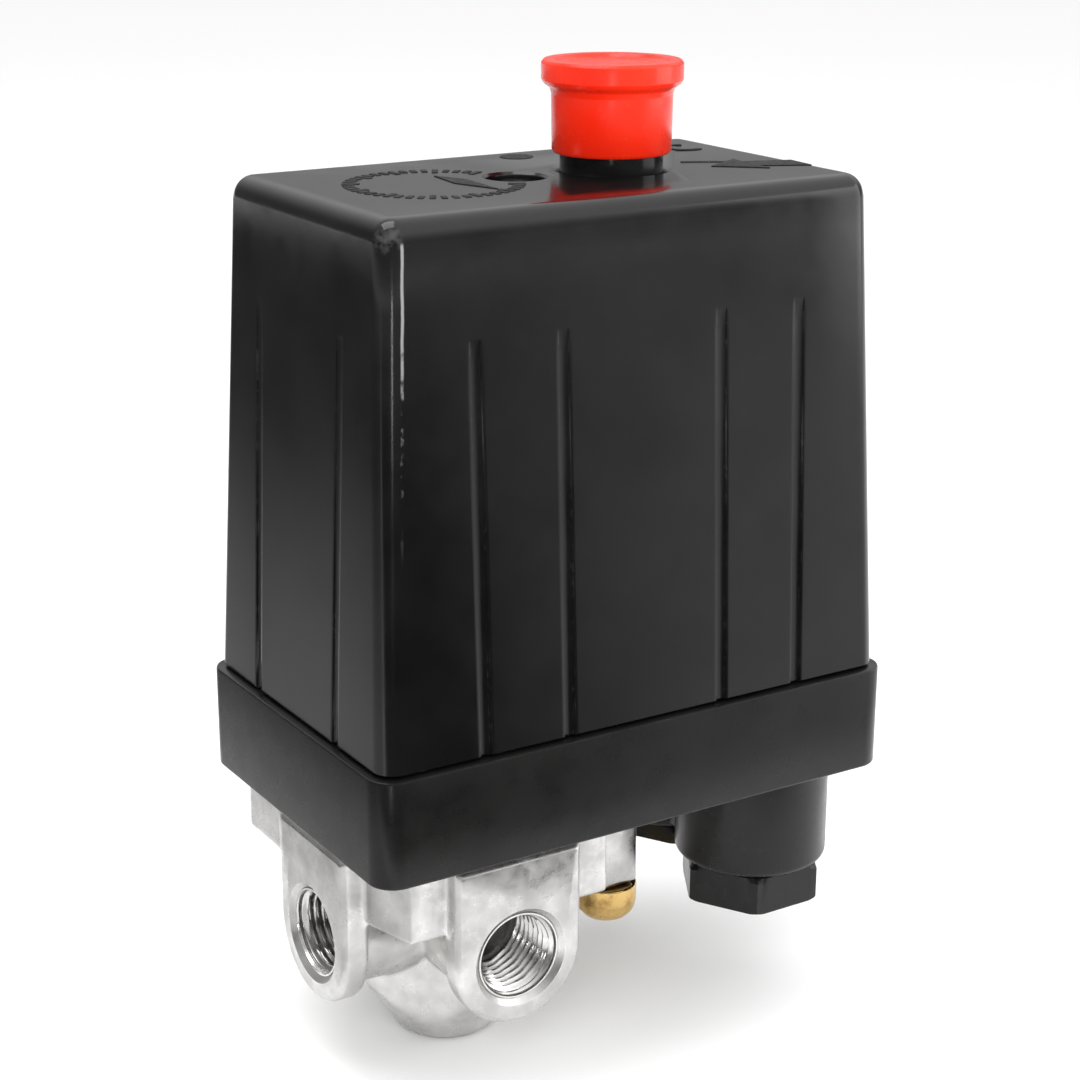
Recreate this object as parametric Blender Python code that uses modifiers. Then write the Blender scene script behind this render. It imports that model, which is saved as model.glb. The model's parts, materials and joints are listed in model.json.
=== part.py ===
"""Pressure switch for a small air compressor, as an assembly of separate pieces.

Frame: +Z up, the origin is the centre of the tank port's lower face.
Front is -Y (a wide side), and +X points to the end with the cable glands.
Every size below is in millimetres. The helpers turn millimetres into Blender's metres.
"""
import math

import bmesh
import bpy
from mathutils import Matrix, Vector

MM = 0.001
GAP = 0.3                    # air left between pieces that touch

# Moulded tray (lower half of the case)
TRAY_X = 19.0                # centre of the case along X
TRAY_Z = 39.5                # underside
TRAY_LENGTH = 90.0
TRAY_WIDTH = 57.2
TRAY_HEIGHT = 16.5
TRAY_WALL = 3.2
TRAY_CORNER = 4.0
TRAY_HOLLOW_CORNER = 1.2
TRAY_EDGE = 0.5
FLOOR_Z = TRAY_Z + TRAY_WALL
RIM_Z = TRAY_Z + TRAY_HEIGHT

# Cover
COVER_Z = RIM_Z + GAP
COVER_TOP = 132.5
COVER_LOW = (87.6, 55.1)     # length and width at the open end
COVER_HIGH = (81.4, 48.3)    # length and width at the top
COVER_WALL = 2.0
COVER_CORNER = 3.3
GROOVE_TOP = 115.5
GROOVE_WIDTH = 1.3
GROOVE_DEPTH = 0.7
GROOVES_WIDE = (-27.4, -13.4, 13.4, 27.4)
GROOVES_NARROW = (-12.6, 12.6)

# Die-cast manifold
PORT_FACE = 23.2             # from the middle to each side port's face
BLOCK_HALF = (17.0, 20.4)    # the block between the lugs, along X and Y
BLOCK_LOW = 26.2
BLOCK_CORNER = 1.0
FLANGE_TOP = TRAY_Z - GAP
LIP_HALF = (18.6, 21.9)      # the flange under the case
LIP_LOW = 36.5
LIP_CORNER = 3.0
EAR_LOW = (-23.0, 9.0, 29.8)  # the flange's ear at the back left corner
EAR_HIGH = (-10.0, 22.2, 38.9)
PORT_Z = 20.4
PORT_RADIUS = 6.6
PORT_MOUTH = 7.6
PORT_DEPTH = 12.0
TANK_PORT_DEPTH = 12.5
DRILL_RADIUS = 5.4
LUG_RADIUS = 10.8
HUB_FOOT_RADIUS = 8.2
HUB_RADIUS = 15.5
HUB_SHOULDER_Z = 8.3
CHAMBER_RADIUS = 12.0
CHAMBER_DEPTH = 1.5
CHANNEL_RADIUS = 3.0

# Diaphragm and plunger
DIAPHRAGM_RADIUS = 16.7
WEB_LOW = 40.0
WEB_HIGH = 41.0
PLUNGER_RADIUS = 7.6
NOSE_RADIUS = 4.0

# Steel base plate and the lever that it carries
PLATE_Z = FLOOR_Z + GAP
PLATE_TOP = PLATE_Z + 1.5
ON_PLATE = PLATE_TOP + GAP
PLATE_LEFT = -22.3
PLATE_RIGHT = 36.0
PLATE_HALF = 22.3
FLANGE_SCREW_AT = (13.6, 17.2)
PIVOT_X = -17.5
PIVOT_Z = 52.0
LEVER_LOW = 51.0
LEVER_HIGH = 53.0
LEVER_HALF = 11.0
LEVER_RIGHT = 34.0
PIN_RADIUS = 1.5
PIN_HOLE = 1.7

# Range spring, its bridge and adjusting screw
BRIDGE_TOP = 103.0
BRIDGE_HALF = 8.0
BRIDGE_SIDE = 17.0
STRIP = 1.5
BRIDGE_SCREW_Y = 19.9
NUT_PLATE_Z = 88.0
SPRING_RADIUS = 6.5
ADJUSTER_RADIUS = 3.0

# Cover screw and its post
POST_X = 13.0
POST_RADIUS = 4.0
BOSS_LOW = 125.2
COVER_BOSS_RADIUS = 6.2
RECESS_RADIUS = 4.4
RECESS_Z = 128.5

# On/off knob
KNOB_X = 29.7
KNOB_BASE = 134.9
KNOB_TOP = 148.5
KNOB_RADIUS = 9.0
KNOB_FLANGE = 10.5
COLLAR_RADIUS = 7.7
COLLAR_TOP = 137.2
STEM_LOW = 79.0

# Contact block
DECK_Z = 62.0
DECK_TOP = 66.0
DECK_LEFT = 25.0
DECK_RIGHT = 60.0
DECK_HALF = 20.0
POLE_Y = 13.0
PEDESTAL_TOP = 75.8
CARRIER_X = 42.7
TRIP_X = 55.7
TRIP_Z = 85.5
CONTACT_X = (38.7, 46.7)
CONTACT_RADIUS = 1.6

# Unloader valve
UNLOADER_X = 30.5
UNLOADER_LOW = 16.0
NECK_RADIUS = 4.0
NECK_HOLE = 4.4
CHAMBER_TOP = 30.0

# Cable glands
GLAND_X = 51.3
GLAND_Y = 11.2
BOSS_RADIUS = 12.3
BOSS_Z = 20.8
BOSS_BORE = 9.4
NUT_RADIUS = 11.9
NUT_LOW = {"front": 14.3, "back": 17.7}    # the back nut has a thinner head
NUT_TOP = 20.5
NUT_BORE = 6.2
SEAL_BORE = 5.5

X_AXIS = Vector((1, 0, 0))
Y_AXIS = Vector((0, 1, 0))
Z_AXIS = Vector((0, 0, 1))
FINISHES = {
    "black_abs": ((0.018, 0.018, 0.019), 0.32, 0.0),
    "black_nylon": ((0.022, 0.022, 0.022), 0.42, 0.0),
    "red_plastic": ((0.86, 0.045, 0.012), 0.26, 0.0),
    "die_cast": ((0.72, 0.71, 0.70), 0.34, 1.0),
    "zinc_steel": ((0.62, 0.63, 0.64), 0.30, 1.0),
    "spring_steel": ((0.36, 0.36, 0.38), 0.28, 1.0),
    "brass": ((0.70, 0.48, 0.20), 0.26, 1.0),
    "rubber": ((0.012, 0.012, 0.012), 0.70, 0.0),
    "brown_bakelite": ((0.11, 0.045, 0.022), 0.38, 0.0),
}


def clear_scene():
    for obj in list(bpy.data.objects):
        bpy.data.objects.remove(obj)


def new_collection(name):
    group = bpy.data.collections.new(name)
    bpy.context.scene.collection.children.link(group)
    return group


def finish(name):
    """The named material, made the first time that it is asked for."""
    material = bpy.data.materials.get(name)
    if material is None:
        colour, roughness, metallic = FINISHES[name]
        material = bpy.data.materials.new(name)
        material.use_nodes = True
        shader = material.node_tree.nodes["Principled BSDF"]
        shader.inputs["Base Color"].default_value = (*colour, 1.0)
        shader.inputs["Roughness"].default_value = roughness
        shader.inputs["Metallic"].default_value = metallic
    return material


def place(name, mesh, centre, material):
    """An object in the parts collection, or a cutter when no material is given."""
    obj = bpy.data.objects.new(name, mesh)
    obj.location = Vector(centre) * MM
    if material:
        PARTS.objects.link(obj)
        mesh.materials.append(finish(material))
    else:
        CUTTERS.objects.link(obj)
        obj.hide_render = True
        obj.display_type = "WIRE"
    return obj


def block(name, low, high, material=None, corner=0.0, segments=3):
    """A box between two corners, with its upright edges rounded by corner."""
    low = Vector(low)
    high = Vector(high)
    bm = bmesh.new()
    bmesh.ops.create_cube(bm, size=1.0)
    bmesh.ops.scale(bm, vec=(high - low) * MM, verts=bm.verts)
    if corner:
        upright = [e for e in bm.edges if abs((e.verts[0].co - e.verts[1].co).z) > 1e-6]
        bmesh.ops.bevel(bm, geom=upright, offset=corner * MM, segments=segments,
                        profile=0.5, affect="EDGES")
    mesh = bpy.data.meshes.new(name)
    bm.to_mesh(mesh)
    bm.free()
    return place(name, mesh, (low + high) / 2, material)


def rod(name, radius, start, end, material=None, sides=24, end_radius=None, turn=0.0):
    """A cylinder, prism or cone from start to end."""
    start = Vector(start)
    end = Vector(end)
    along = end - start
    bm = bmesh.new()
    bmesh.ops.create_cone(
        bm, cap_ends=True, segments=sides, radius1=radius * MM,
        radius2=(radius if end_radius is None else end_radius) * MM, depth=along.length * MM)
    spin = Z_AXIS.rotation_difference(along).to_matrix().to_4x4() @ Matrix.Rotation(turn, 4, "Z")
    bmesh.ops.transform(bm, matrix=spin, verts=bm.verts)
    mesh = bpy.data.meshes.new(name)
    bm.to_mesh(mesh)
    bm.free()
    if sides > 8:
        mesh.shade_smooth()
        mesh.set_sharp_from_angle(angle=math.radians(35))
    return place(name, mesh, (start + end) / 2, material)


def upright(name, radius, at, z_low, z_high, material=None, **options):
    return rod(name, radius, (*at, z_low), (*at, z_high), material, **options)


def turned(name, profile, at, material=None, closed=False, steps=40):
    """A turned piece: the profile of (radius, z) runs down its outer side."""
    mesh = bpy.data.meshes.new(name)
    points = [(radius * MM, 0.0, z * MM) for radius, z in profile]
    edges = [(i, i + 1) for i in range(len(points) - 1)]
    if closed:
        edges.append((len(points) - 1, 0))
    mesh.from_pydata(points, edges, [])
    obj = place(name, mesh, (*at, 0.0), material)
    screw = obj.modifiers.new("Turn", "SCREW")
    screw.axis = "Z"
    screw.angle = math.tau
    screw.steps = steps
    screw.render_steps = steps
    screw.use_merge_vertices = True
    screw.merge_threshold = 1e-6
    screw.use_smooth_shade = False
    return obj


def coil(name, radius, wire, at, z_low, z_high, turns, material):
    """A compression spring with its wire's middle line between the two heights."""
    per_turn = 10
    count = turns * per_turn + 1
    curve = bpy.data.curves.new(name, "CURVE")
    curve.dimensions = "3D"
    curve.bevel_depth = wire * MM
    curve.bevel_resolution = 2
    curve.use_fill_caps = True
    line = curve.splines.new("POLY")
    line.points.add(count - 1)
    for i, point in enumerate(line.points):
        angle = math.tau * i / per_turn
        height = z_low + wire + (z_high - z_low - 2 * wire) * i / (count - 1)
        point.co = (radius * MM * math.cos(angle), radius * MM * math.sin(angle), height * MM, 1.0)
    obj = bpy.data.objects.new(name, curve)
    obj.location = (at[0] * MM, at[1] * MM, 0.0)
    curve.materials.append(finish(material))
    PARTS.objects.link(obj)
    return obj


def combine(obj, tool, operation):
    modifier = obj.modifiers.new(tool.name, "BOOLEAN")
    modifier.operation = operation
    modifier.object = tool


def cut(obj, *tools):
    for tool in tools:
        combine(obj, tool, "DIFFERENCE")


def join(obj, *tools):
    for tool in tools:
        combine(obj, tool, "UNION")


def bevel(obj, width, segments=2, angle=40):
    modifier = obj.modifiers.new("Rounded edges", "BEVEL")
    modifier.width = width * MM
    modifier.segments = segments
    modifier.limit_method = "ANGLE"
    modifier.angle_limit = math.radians(angle)


def tapered_hood(name, low_size, high_size, z_low, z_high, material):
    """A box without its bottom face, tapered from low_size to high_size."""
    bm = bmesh.new()
    bmesh.ops.create_cube(bm, size=1.0)
    for vert in bm.verts:
        size = high_size if vert.co.z > 0 else low_size
        vert.co.x *= size[0] * MM
        vert.co.y *= size[1] * MM
        vert.co.z *= (z_high - z_low) * MM
    mouth = [face for face in bm.faces if face.normal.z < -0.9]
    bmesh.ops.delete(bm, geom=mouth, context="FACES_ONLY")
    mesh = bpy.data.meshes.new(name)
    bm.to_mesh(mesh)
    bm.free()
    return place(name, mesh, (TRAY_X, 0.0, (z_low + z_high) / 2), material)


def thicken(obj, wall):
    modifier = obj.modifiers.new("Wall", "SOLIDIFY")
    modifier.thickness = wall * MM
    modifier.offset = -1.0
    modifier.use_even_offset = True


def pan_screw(name, at, seat_z, head_radius, head_height, shank_radius, tip_z, material, slot=True):
    """A round-headed screw whose head rests at seat_z, with a driver slot."""
    top = seat_z + head_height
    screw = turned(name, [
        (0.0, top), (head_radius * 0.55, top), (head_radius, seat_z + head_height * 0.55),
        (head_radius, seat_z), (shank_radius, seat_z), (shank_radius, tip_z + shank_radius * 0.5),
        (shank_radius * 0.5, tip_z), (0.0, tip_z)], at, material, steps=14)
    if slot:
        x, y = at
        cut(screw, block(name + "_slot", (x - head_radius - 1, y - 0.4, top - head_height * 0.4),
                         (x + head_radius + 1, y + 0.4, top + 1)))
    return screw


def side_half(z, axis):
    """Half the cover's outer size at height z, along X (0) or Y (1)."""
    share = (z - COVER_Z) / (COVER_TOP - COVER_Z)
    return (COVER_LOW[axis] + share * (COVER_HIGH[axis] - COVER_LOW[axis])) / 2


def groove_cutter(name, offset, axis, sign):
    """A bar that stands steeper than the cover's wall, so that the groove fades out upwards."""
    low = COVER_Z - 2.0
    bottom = side_half(COVER_Z, axis) - GROOVE_DEPTH
    top = side_half(GROOVE_TOP, axis)
    lean = math.atan2(bottom - top, GROOVE_TOP - COVER_Z)
    length = GROOVE_TOP - low
    reach = 6.0
    bar = block(name, (-GROOVE_WIDTH / 2, 0.0, 0.0), (GROOVE_WIDTH / 2, reach, length + 3.0))
    # The bar's foot line is moved to the origin, leant inwards, then turned to its side.
    mesh = bar.data
    mesh.transform(Matrix.Translation((0.0, reach / 2 * MM, (length + 3.0) / 2 * MM)))
    mesh.transform(Matrix.Rotation(lean, 4, "X"))
    facing = {(1, 1): 0.0, (1, -1): math.pi, (0, 1): -math.pi / 2, (0, -1): math.pi / 2}
    mesh.transform(Matrix.Rotation(facing[(axis, sign)], 4, "Z"))
    foot = sign * (bottom + 2.0 * math.tan(lean))
    place_at = (TRAY_X + offset, foot, low) if axis == 1 else (TRAY_X + foot, offset, low)
    bar.location = Vector(place_at) * MM
    return bar


def make_cover():
    cover = tapered_hood("cover", COVER_LOW, COVER_HIGH, COVER_Z, COVER_TOP, "black_abs")
    bevel(cover, COVER_CORNER, segments=4, angle=30)
    thicken(cover, COVER_WALL)
    join(cover, upright("cover_boss", COVER_BOSS_RADIUS, (POST_X, 0.0), BOSS_LOW, COVER_TOP - 1.0))
    for sign in (-1, 1):
        for i, offset in enumerate(GROOVES_WIDE):
            cut(cover, groove_cutter(f"groove_y{sign}_{i}", offset, 1, sign))
        for i, offset in enumerate(GROOVES_NARROW):
            cut(cover, groove_cutter(f"groove_x{sign}_{i}", offset, 0, sign))
    cut(cover,
        upright("knob_hole", COLLAR_RADIUS + 0.4, (KNOB_X, 0.0), COVER_TOP - 6, COVER_TOP + 5),
        upright("screw_recess", RECESS_RADIUS, (POST_X, 0.0), RECESS_Z, COVER_TOP + 5),
        upright("screw_way", 2.1, (POST_X, 0.0), BOSS_LOW - 2, RECESS_Z + 1, sides=20))
    pan_screw("cover_screw", (POST_X, 0.0), RECESS_Z + GAP, 3.3, 2.4, 1.8, 113.0, "zinc_steel")
    post = upright("cover_post", POST_RADIUS, (POST_X, 0.0), ON_PLATE, BOSS_LOW - GAP,
                   "zinc_steel", sides=6)
    cut(post, upright("post_thread", 2.0, (POST_X, 0.0), 112.0, BOSS_LOW + 1, sides=20))


def make_tray():
    x, y = TRAY_LENGTH / 2, TRAY_WIDTH / 2
    tray = block("base_tray", (TRAY_X - x, -y, TRAY_Z), (TRAY_X + x, y, RIM_Z), "black_nylon",
                 corner=TRAY_CORNER, segments=4)
    bevel(tray, TRAY_EDGE)
    x, y = x - TRAY_WALL, y - TRAY_WALL
    cut(tray, block("tray_hollow", (TRAY_X - x, -y, FLOOR_Z), (TRAY_X + x, y, RIM_Z + 2),
                    corner=TRAY_HOLLOW_CORNER))
    web = block("gland_web", (GLAND_X - 7.5, -GLAND_Y, BOSS_Z + 1.0), (GLAND_X + 7.5, GLAND_Y, 41.5))
    join(tray, web)
    for side, y in (("front", -GLAND_Y), ("back", GLAND_Y)):
        boss = upright(f"gland_boss_{side}", BOSS_RADIUS, (GLAND_X, y), BOSS_Z, 41.5, sides=28)
        bevel(boss, 1.0)
        join(tray, boss)
    for side, y in (("front", -GLAND_Y), ("back", GLAND_Y)):
        cut(tray, upright(f"gland_bore_{side}", BOSS_BORE, (GLAND_X, y), BOSS_Z - 2, FLOOR_Z + 2))
    cut(tray,
        upright("diaphragm_hole", DIAPHRAGM_RADIUS + GAP, (0, 0), TRAY_Z - 2, FLOOR_Z + 2, sides=28),
        upright("unloader_hole", NECK_HOLE, (UNLOADER_X, 0), TRAY_Z - 2, FLOOR_Z + 2))
    for i, at in enumerate(flange_screw_places()):
        cut(tray, upright(f"tray_screw_hole_{i}", 2.2, at, TRAY_Z - 2, FLOOR_Z + 2, sides=12))


def make_glands():
    for side, y in (("front", -GLAND_Y), ("back", GLAND_Y)):
        at = (GLAND_X, y)
        nut = upright(f"gland_nut_{side}", NUT_RADIUS, at, NUT_LOW[side], NUT_TOP, "black_nylon", sides=6,
                      turn=math.pi / 6)
        join(nut, upright(f"nut_spigot_{side}", BOSS_BORE - GAP, at, NUT_TOP - 1, 32.7))
        cut(nut, upright(f"nut_bore_{side}", NUT_BORE, at, NUT_LOW[side] - 2, 35.0))
        turned(f"gland_seal_{side}", [
            (BOSS_BORE - GAP, 41.0), (BOSS_BORE - GAP, 33.0), (SEAL_BORE, 33.0), (SEAL_BORE, 41.0)],
            at, "rubber", closed=True, steps=24)


def flange_screw_places():
    x, y = FLANGE_SCREW_AT
    return [(sx * x, sy * y) for sx in (-1, 1) for sy in (-1, 1)]


def make_lug(name, direction):
    """One side port's lug: a block from the port face to the hub, with a round underside."""
    face = direction * PORT_FACE
    inner = direction * 2.0
    across = Vector((abs(direction.y), abs(direction.x), 0)) * LUG_RADIUS
    low = Vector(map(min, face - across, inner - across))
    high = Vector(map(max, face + across, inner + across))
    low.z = PORT_Z - LUG_RADIUS
    high.z = FLANGE_TOP - 0.1
    bm = bmesh.new()
    bmesh.ops.create_cube(bm, size=1.0)
    bmesh.ops.scale(bm, vec=(high - low) * MM, verts=bm.verts)
    under = [e for e in bm.edges if e.verts[0].co.z < 0 and e.verts[1].co.z < 0
             and abs((e.verts[0].co - e.verts[1].co).normalized().dot(direction)) > 0.9]
    bmesh.ops.bevel(bm, geom=under, offset=(LUG_RADIUS - 0.05) * MM, segments=12,
                    profile=0.5, affect="EDGES")
    mesh = bpy.data.meshes.new(name)
    bm.to_mesh(mesh)
    bm.free()
    return place(name, mesh, (low + high) / 2, None)


def make_manifold():
    x, y = BLOCK_HALF
    manifold = block("manifold", (-x, -y, BLOCK_LOW), (x, y, LIP_LOW + 1), "die_cast", corner=BLOCK_CORNER)
    x, y = LIP_HALF
    join(manifold, block("flange_lip", (-x, -y, LIP_LOW), (x, y, FLANGE_TOP), corner=LIP_CORNER),
         block("flange_ear", EAR_LOW, EAR_HIGH, corner=BLOCK_CORNER))
    join(manifold, turned("hub", [
        (0.0, BLOCK_LOW + 3), (HUB_RADIUS, BLOCK_LOW + 3), (HUB_RADIUS, HUB_SHOULDER_Z),
        (HUB_FOOT_RADIUS + 0.3, 0.6), (HUB_FOOT_RADIUS, 0.0), (0.0, 0.0)], (0, 0)))
    sides = {"left": -X_AXIS, "front": -Y_AXIS, "back": Y_AXIS}
    for side, direction in sides.items():
        join(manifold, make_lug(f"lug_{side}", direction))
    centre = Z_AXIS * PORT_Z
    for side, direction in sides.items():
        mouth = centre + direction * PORT_FACE
        cut(manifold,
            rod(f"port_{side}", PORT_RADIUS, mouth - direction * PORT_DEPTH, mouth + direction * 2, sides=36),
            rod(f"mouth_{side}", PORT_RADIUS - 0.5, mouth - direction * 1.5, mouth + direction * 1.0,
                end_radius=PORT_MOUTH + 1.0, sides=36))
    cut(manifold,
        rod("drill_left", DRILL_RADIUS - 0.2, centre, centre - X_AXIS * (PORT_FACE - 2), sides=28),
        rod("drill_across", DRILL_RADIUS, centre - Y_AXIS * (PORT_FACE - 2),
            centre + Y_AXIS * (PORT_FACE - 2), sides=28, turn=0.05),
        upright("drill_tank", DRILL_RADIUS - 0.1, (0, 0), PORT_Z - 12, PORT_Z + 6.5, sides=28, turn=0.03),
        upright("port_tank", PORT_RADIUS, (0, 0), -2.0, TANK_PORT_DEPTH, sides=36),
        upright("mouth_tank", PORT_MOUTH, (0, 0), -1.0, 1.4, sides=28, end_radius=PORT_RADIUS - 0.4),
        upright("channel", CHANNEL_RADIUS, (0, 0), PORT_Z, FLANGE_TOP + 1, sides=20),
        upright("chamber", CHAMBER_RADIUS, (0, 0), FLANGE_TOP - CHAMBER_DEPTH, FLANGE_TOP + 2))
    for i, at in enumerate(flange_screw_places()):
        cut(manifold, upright(f"flange_thread_{i}", 2.2, at, 31.5, FLANGE_TOP + 2, sides=12))
        pan_screw(f"flange_screw_{i + 1}", at, ON_PLATE, 3.2, 2.6, 1.9, 32.0, "zinc_steel")


def make_diaphragm():
    turned("diaphragm", [
        (0.0, WEB_HIGH), (11.0, WEB_HIGH), (12.2, WEB_HIGH + 0.9), (13.4, FLOOR_Z), (DIAPHRAGM_RADIUS, FLOOR_Z),
        (DIAPHRAGM_RADIUS, TRAY_Z), (13.4, TRAY_Z), (12.2, WEB_LOW + 0.4), (11.0, WEB_LOW), (0.0, WEB_LOW)],
        (0, 0), "rubber", steps=28)
    turned("pressure_plunger", [
        (0.0, LEVER_LOW - GAP), (NOSE_RADIUS - 1.5, LEVER_LOW - GAP), (NOSE_RADIUS, LEVER_LOW - 1.4),
        (NOSE_RADIUS, 45.4), (PLUNGER_RADIUS, 44.8), (PLUNGER_RADIUS, WEB_HIGH + GAP),
        (0.0, WEB_HIGH + GAP)], (0, 0), "zinc_steel", steps=24)


def make_base_plate():
    plate = block("base_plate", (PLATE_LEFT, -PLATE_HALF, PLATE_Z), (PLATE_RIGHT, PLATE_HALF, PLATE_TOP),
                  "zinc_steel", corner=3.0)
    for side in (-1, 1):
        ends = sorted((side * 12.0, side * 13.5))
        join(plate, block(f"pivot_ear_{side}", (PIVOT_X - 3.5, ends[0], PLATE_TOP - 0.8),
                          (PIVOT_X + 3.5, ends[1], PIVOT_Z + 4.0)))
    cut(plate,
        upright("plunger_hole", PLUNGER_RADIUS + 0.4, (0, 0), PLATE_Z - 2, PLATE_TOP + 2),
        upright("neck_hole", NECK_HOLE, (UNLOADER_X, 0), PLATE_Z - 2, PLATE_TOP + 2),
        upright("earth_hole", 2.1, (32.5, -14.0), PLATE_Z - 2, PLATE_TOP + 2, sides=12),
        rod("pivot_bore", PIN_HOLE, (PIVOT_X, -16, PIVOT_Z), (PIVOT_X, 16, PIVOT_Z), sides=20))
    for i, at in enumerate(flange_screw_places()):
        cut(plate, upright(f"plate_hole_{i}", 2.2, at, PLATE_Z - 2, PLATE_TOP + 2, sides=12))
    for side in (-1, 1):
        cut(plate, upright(f"bridge_hole_{side}", 1.5, (0, side * BRIDGE_SCREW_Y), PLATE_Z - 2,
                           PLATE_TOP + 2, sides=12))
    pan_screw("earth_screw", (32.5, -14.0), ON_PLATE, 3.0, 2.4, 1.8, PLATE_Z + 0.1, "brass")


def make_lever():
    lever = block("main_lever", (PIVOT_X, -LEVER_HALF, LEVER_LOW), (LEVER_RIGHT, LEVER_HALF, LEVER_HIGH),
                  "zinc_steel")
    join(lever, rod("lever_hub", 3.2, (PIVOT_X, -LEVER_HALF + 0.1, PIVOT_Z),
                    (PIVOT_X, LEVER_HALF - 0.1, PIVOT_Z), sides=28))
    for side in (-1, 1):
        ends = sorted((side * (LEVER_HALF - 1.2), side * LEVER_HALF))
        join(lever, block(f"lever_flange_{side}", (PIVOT_X + 6, ends[0], LEVER_LOW + 0.5),
                          (LEVER_RIGHT - 2, ends[1], LEVER_HIGH + 3)))
    cut(lever,
        upright("post_way", POST_RADIUS + 1.2, (POST_X, 0), LEVER_LOW - 2, LEVER_HIGH + 2),
        rod("lever_bore", PIN_HOLE, (PIVOT_X, -16, PIVOT_Z), (PIVOT_X, 16, PIVOT_Z), sides=20))
    rod("lever_pin", PIN_RADIUS, (PIVOT_X, -14.8, PIVOT_Z), (PIVOT_X, 14.8, PIVOT_Z), "zinc_steel",
        sides=20)


def make_range_spring():
    bridge = block("spring_bridge", (-BRIDGE_HALF, -BRIDGE_SIDE, BRIDGE_TOP - STRIP),
                   (BRIDGE_HALF, BRIDGE_SIDE, BRIDGE_TOP), "zinc_steel")
    for side in (-1, 1):
        leg = sorted((side * (BRIDGE_SIDE - STRIP), side * BRIDGE_SIDE))
        foot = sorted((side * (BRIDGE_SIDE - STRIP), side * PLATE_HALF))
        join(bridge,
             block(f"bridge_leg_{side}", (-BRIDGE_HALF + 0.2, leg[0], ON_PLATE + 0.2),
                   (BRIDGE_HALF - 0.2, leg[1], BRIDGE_TOP - 0.5)),
             block(f"bridge_foot_{side}", (-BRIDGE_HALF, foot[0], ON_PLATE),
                   (BRIDGE_HALF, foot[1], ON_PLATE + STRIP)))
        at = (0, side * BRIDGE_SCREW_Y)
        cut(bridge, upright(f"foot_hole_{side}", 1.5, at, ON_PLATE - 1, ON_PLATE + 3, sides=16))
        pan_screw(f"bridge_screw_{'front' if side < 0 else 'back'}", at, ON_PLATE + STRIP + GAP, 2.3, 1.8,
                  1.2, PLATE_Z + 0.3, "zinc_steel")
    cut(bridge, upright("adjuster_hole", ADJUSTER_RADIUS + 0.3, (0, 0), BRIDGE_TOP - 4, BRIDGE_TOP + 2))
    nut_plate = block("spring_plate", (-BRIDGE_HALF + 0.3, -13.5, NUT_PLATE_Z),
                      (BRIDGE_HALF - 0.3, 13.5, NUT_PLATE_Z + 3), "zinc_steel")
    cut(nut_plate, upright("nut_thread", ADJUSTER_RADIUS + 0.3, (0, 0), NUT_PLATE_Z - 2, NUT_PLATE_Z + 6))
    adjuster = upright("adjusting_screw", ADJUSTER_RADIUS, (0, 0), 58.0, 105.0, "zinc_steel", sides=24)
    head = upright("adjuster_head", 5.2, (0, 0), BRIDGE_TOP + GAP, 107.5, sides=6)
    join(adjuster, head)
    cut(adjuster, block("adjuster_slot", (-7, -0.6, 106.0), (7, 0.6, 109.0)))
    coil("range_spring", SPRING_RADIUS, 1.0, (0, 0), LEVER_HIGH + GAP, NUT_PLATE_Z - GAP, 6, "spring_steel")


def make_knob():
    turned("knob_cap", [
        (0.0, KNOB_TOP - 0.7), (8.0, KNOB_TOP - 0.6), (8.7, KNOB_TOP), (10.1, KNOB_TOP),
        (KNOB_FLANGE, KNOB_TOP - 0.4), (KNOB_FLANGE, 145.6), (10.2, 145.0), (9.25, 144.5), (KNOB_RADIUS, 144.0),
        (KNOB_RADIUS - 0.1, KNOB_BASE + 0.3), (KNOB_RADIUS - 0.4, KNOB_BASE), (8.0, KNOB_BASE),
        (8.0, COLLAR_TOP + GAP), (4.3, COLLAR_TOP + GAP), (4.3, 144.4), (0.0, 144.4)],
        (KNOB_X, 0), "red_plastic", steps=36)
    turned("knob_stem", [
        (0.0, 144.0), (4.0, 144.0), (4.0, COLLAR_TOP), (COLLAR_RADIUS, COLLAR_TOP), (COLLAR_RADIUS, 122.0),
        (9.5, 122.0), (9.5, 120.0), (4.0, 120.0), (4.0, 91.0), (5.0, 91.0), (5.0, 89.2), (3.0, 89.2),
        (3.0, 81.8), (5.0, 81.8), (5.0, STEM_LOW), (0.0, STEM_LOW)],
        (KNOB_X, 0), "black_abs", steps=24)


def make_trip_lever():
    half = 5.5
    trip = block("trip_lever", (25.7, -half, TRIP_Z - 1), (TRIP_X, half, TRIP_Z + 1), "zinc_steel")
    join(trip, rod("trip_hub", 2.8, (TRIP_X, -half + 0.1, TRIP_Z), (TRIP_X, half - 0.1, TRIP_Z), sides=24))
    cut(trip,
        block("trip_fork", (24.0, -3.6, TRIP_Z - 3), (34.2, 3.6, TRIP_Z + 3)),
        rod("trip_bore", PIN_HOLE, (TRIP_X, -9, TRIP_Z), (TRIP_X, 9, TRIP_Z), sides=20))
    rod("trip_pin", PIN_RADIUS, (TRIP_X, -8.6, TRIP_Z), (TRIP_X, 8.6, TRIP_Z), "zinc_steel", sides=20)


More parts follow.
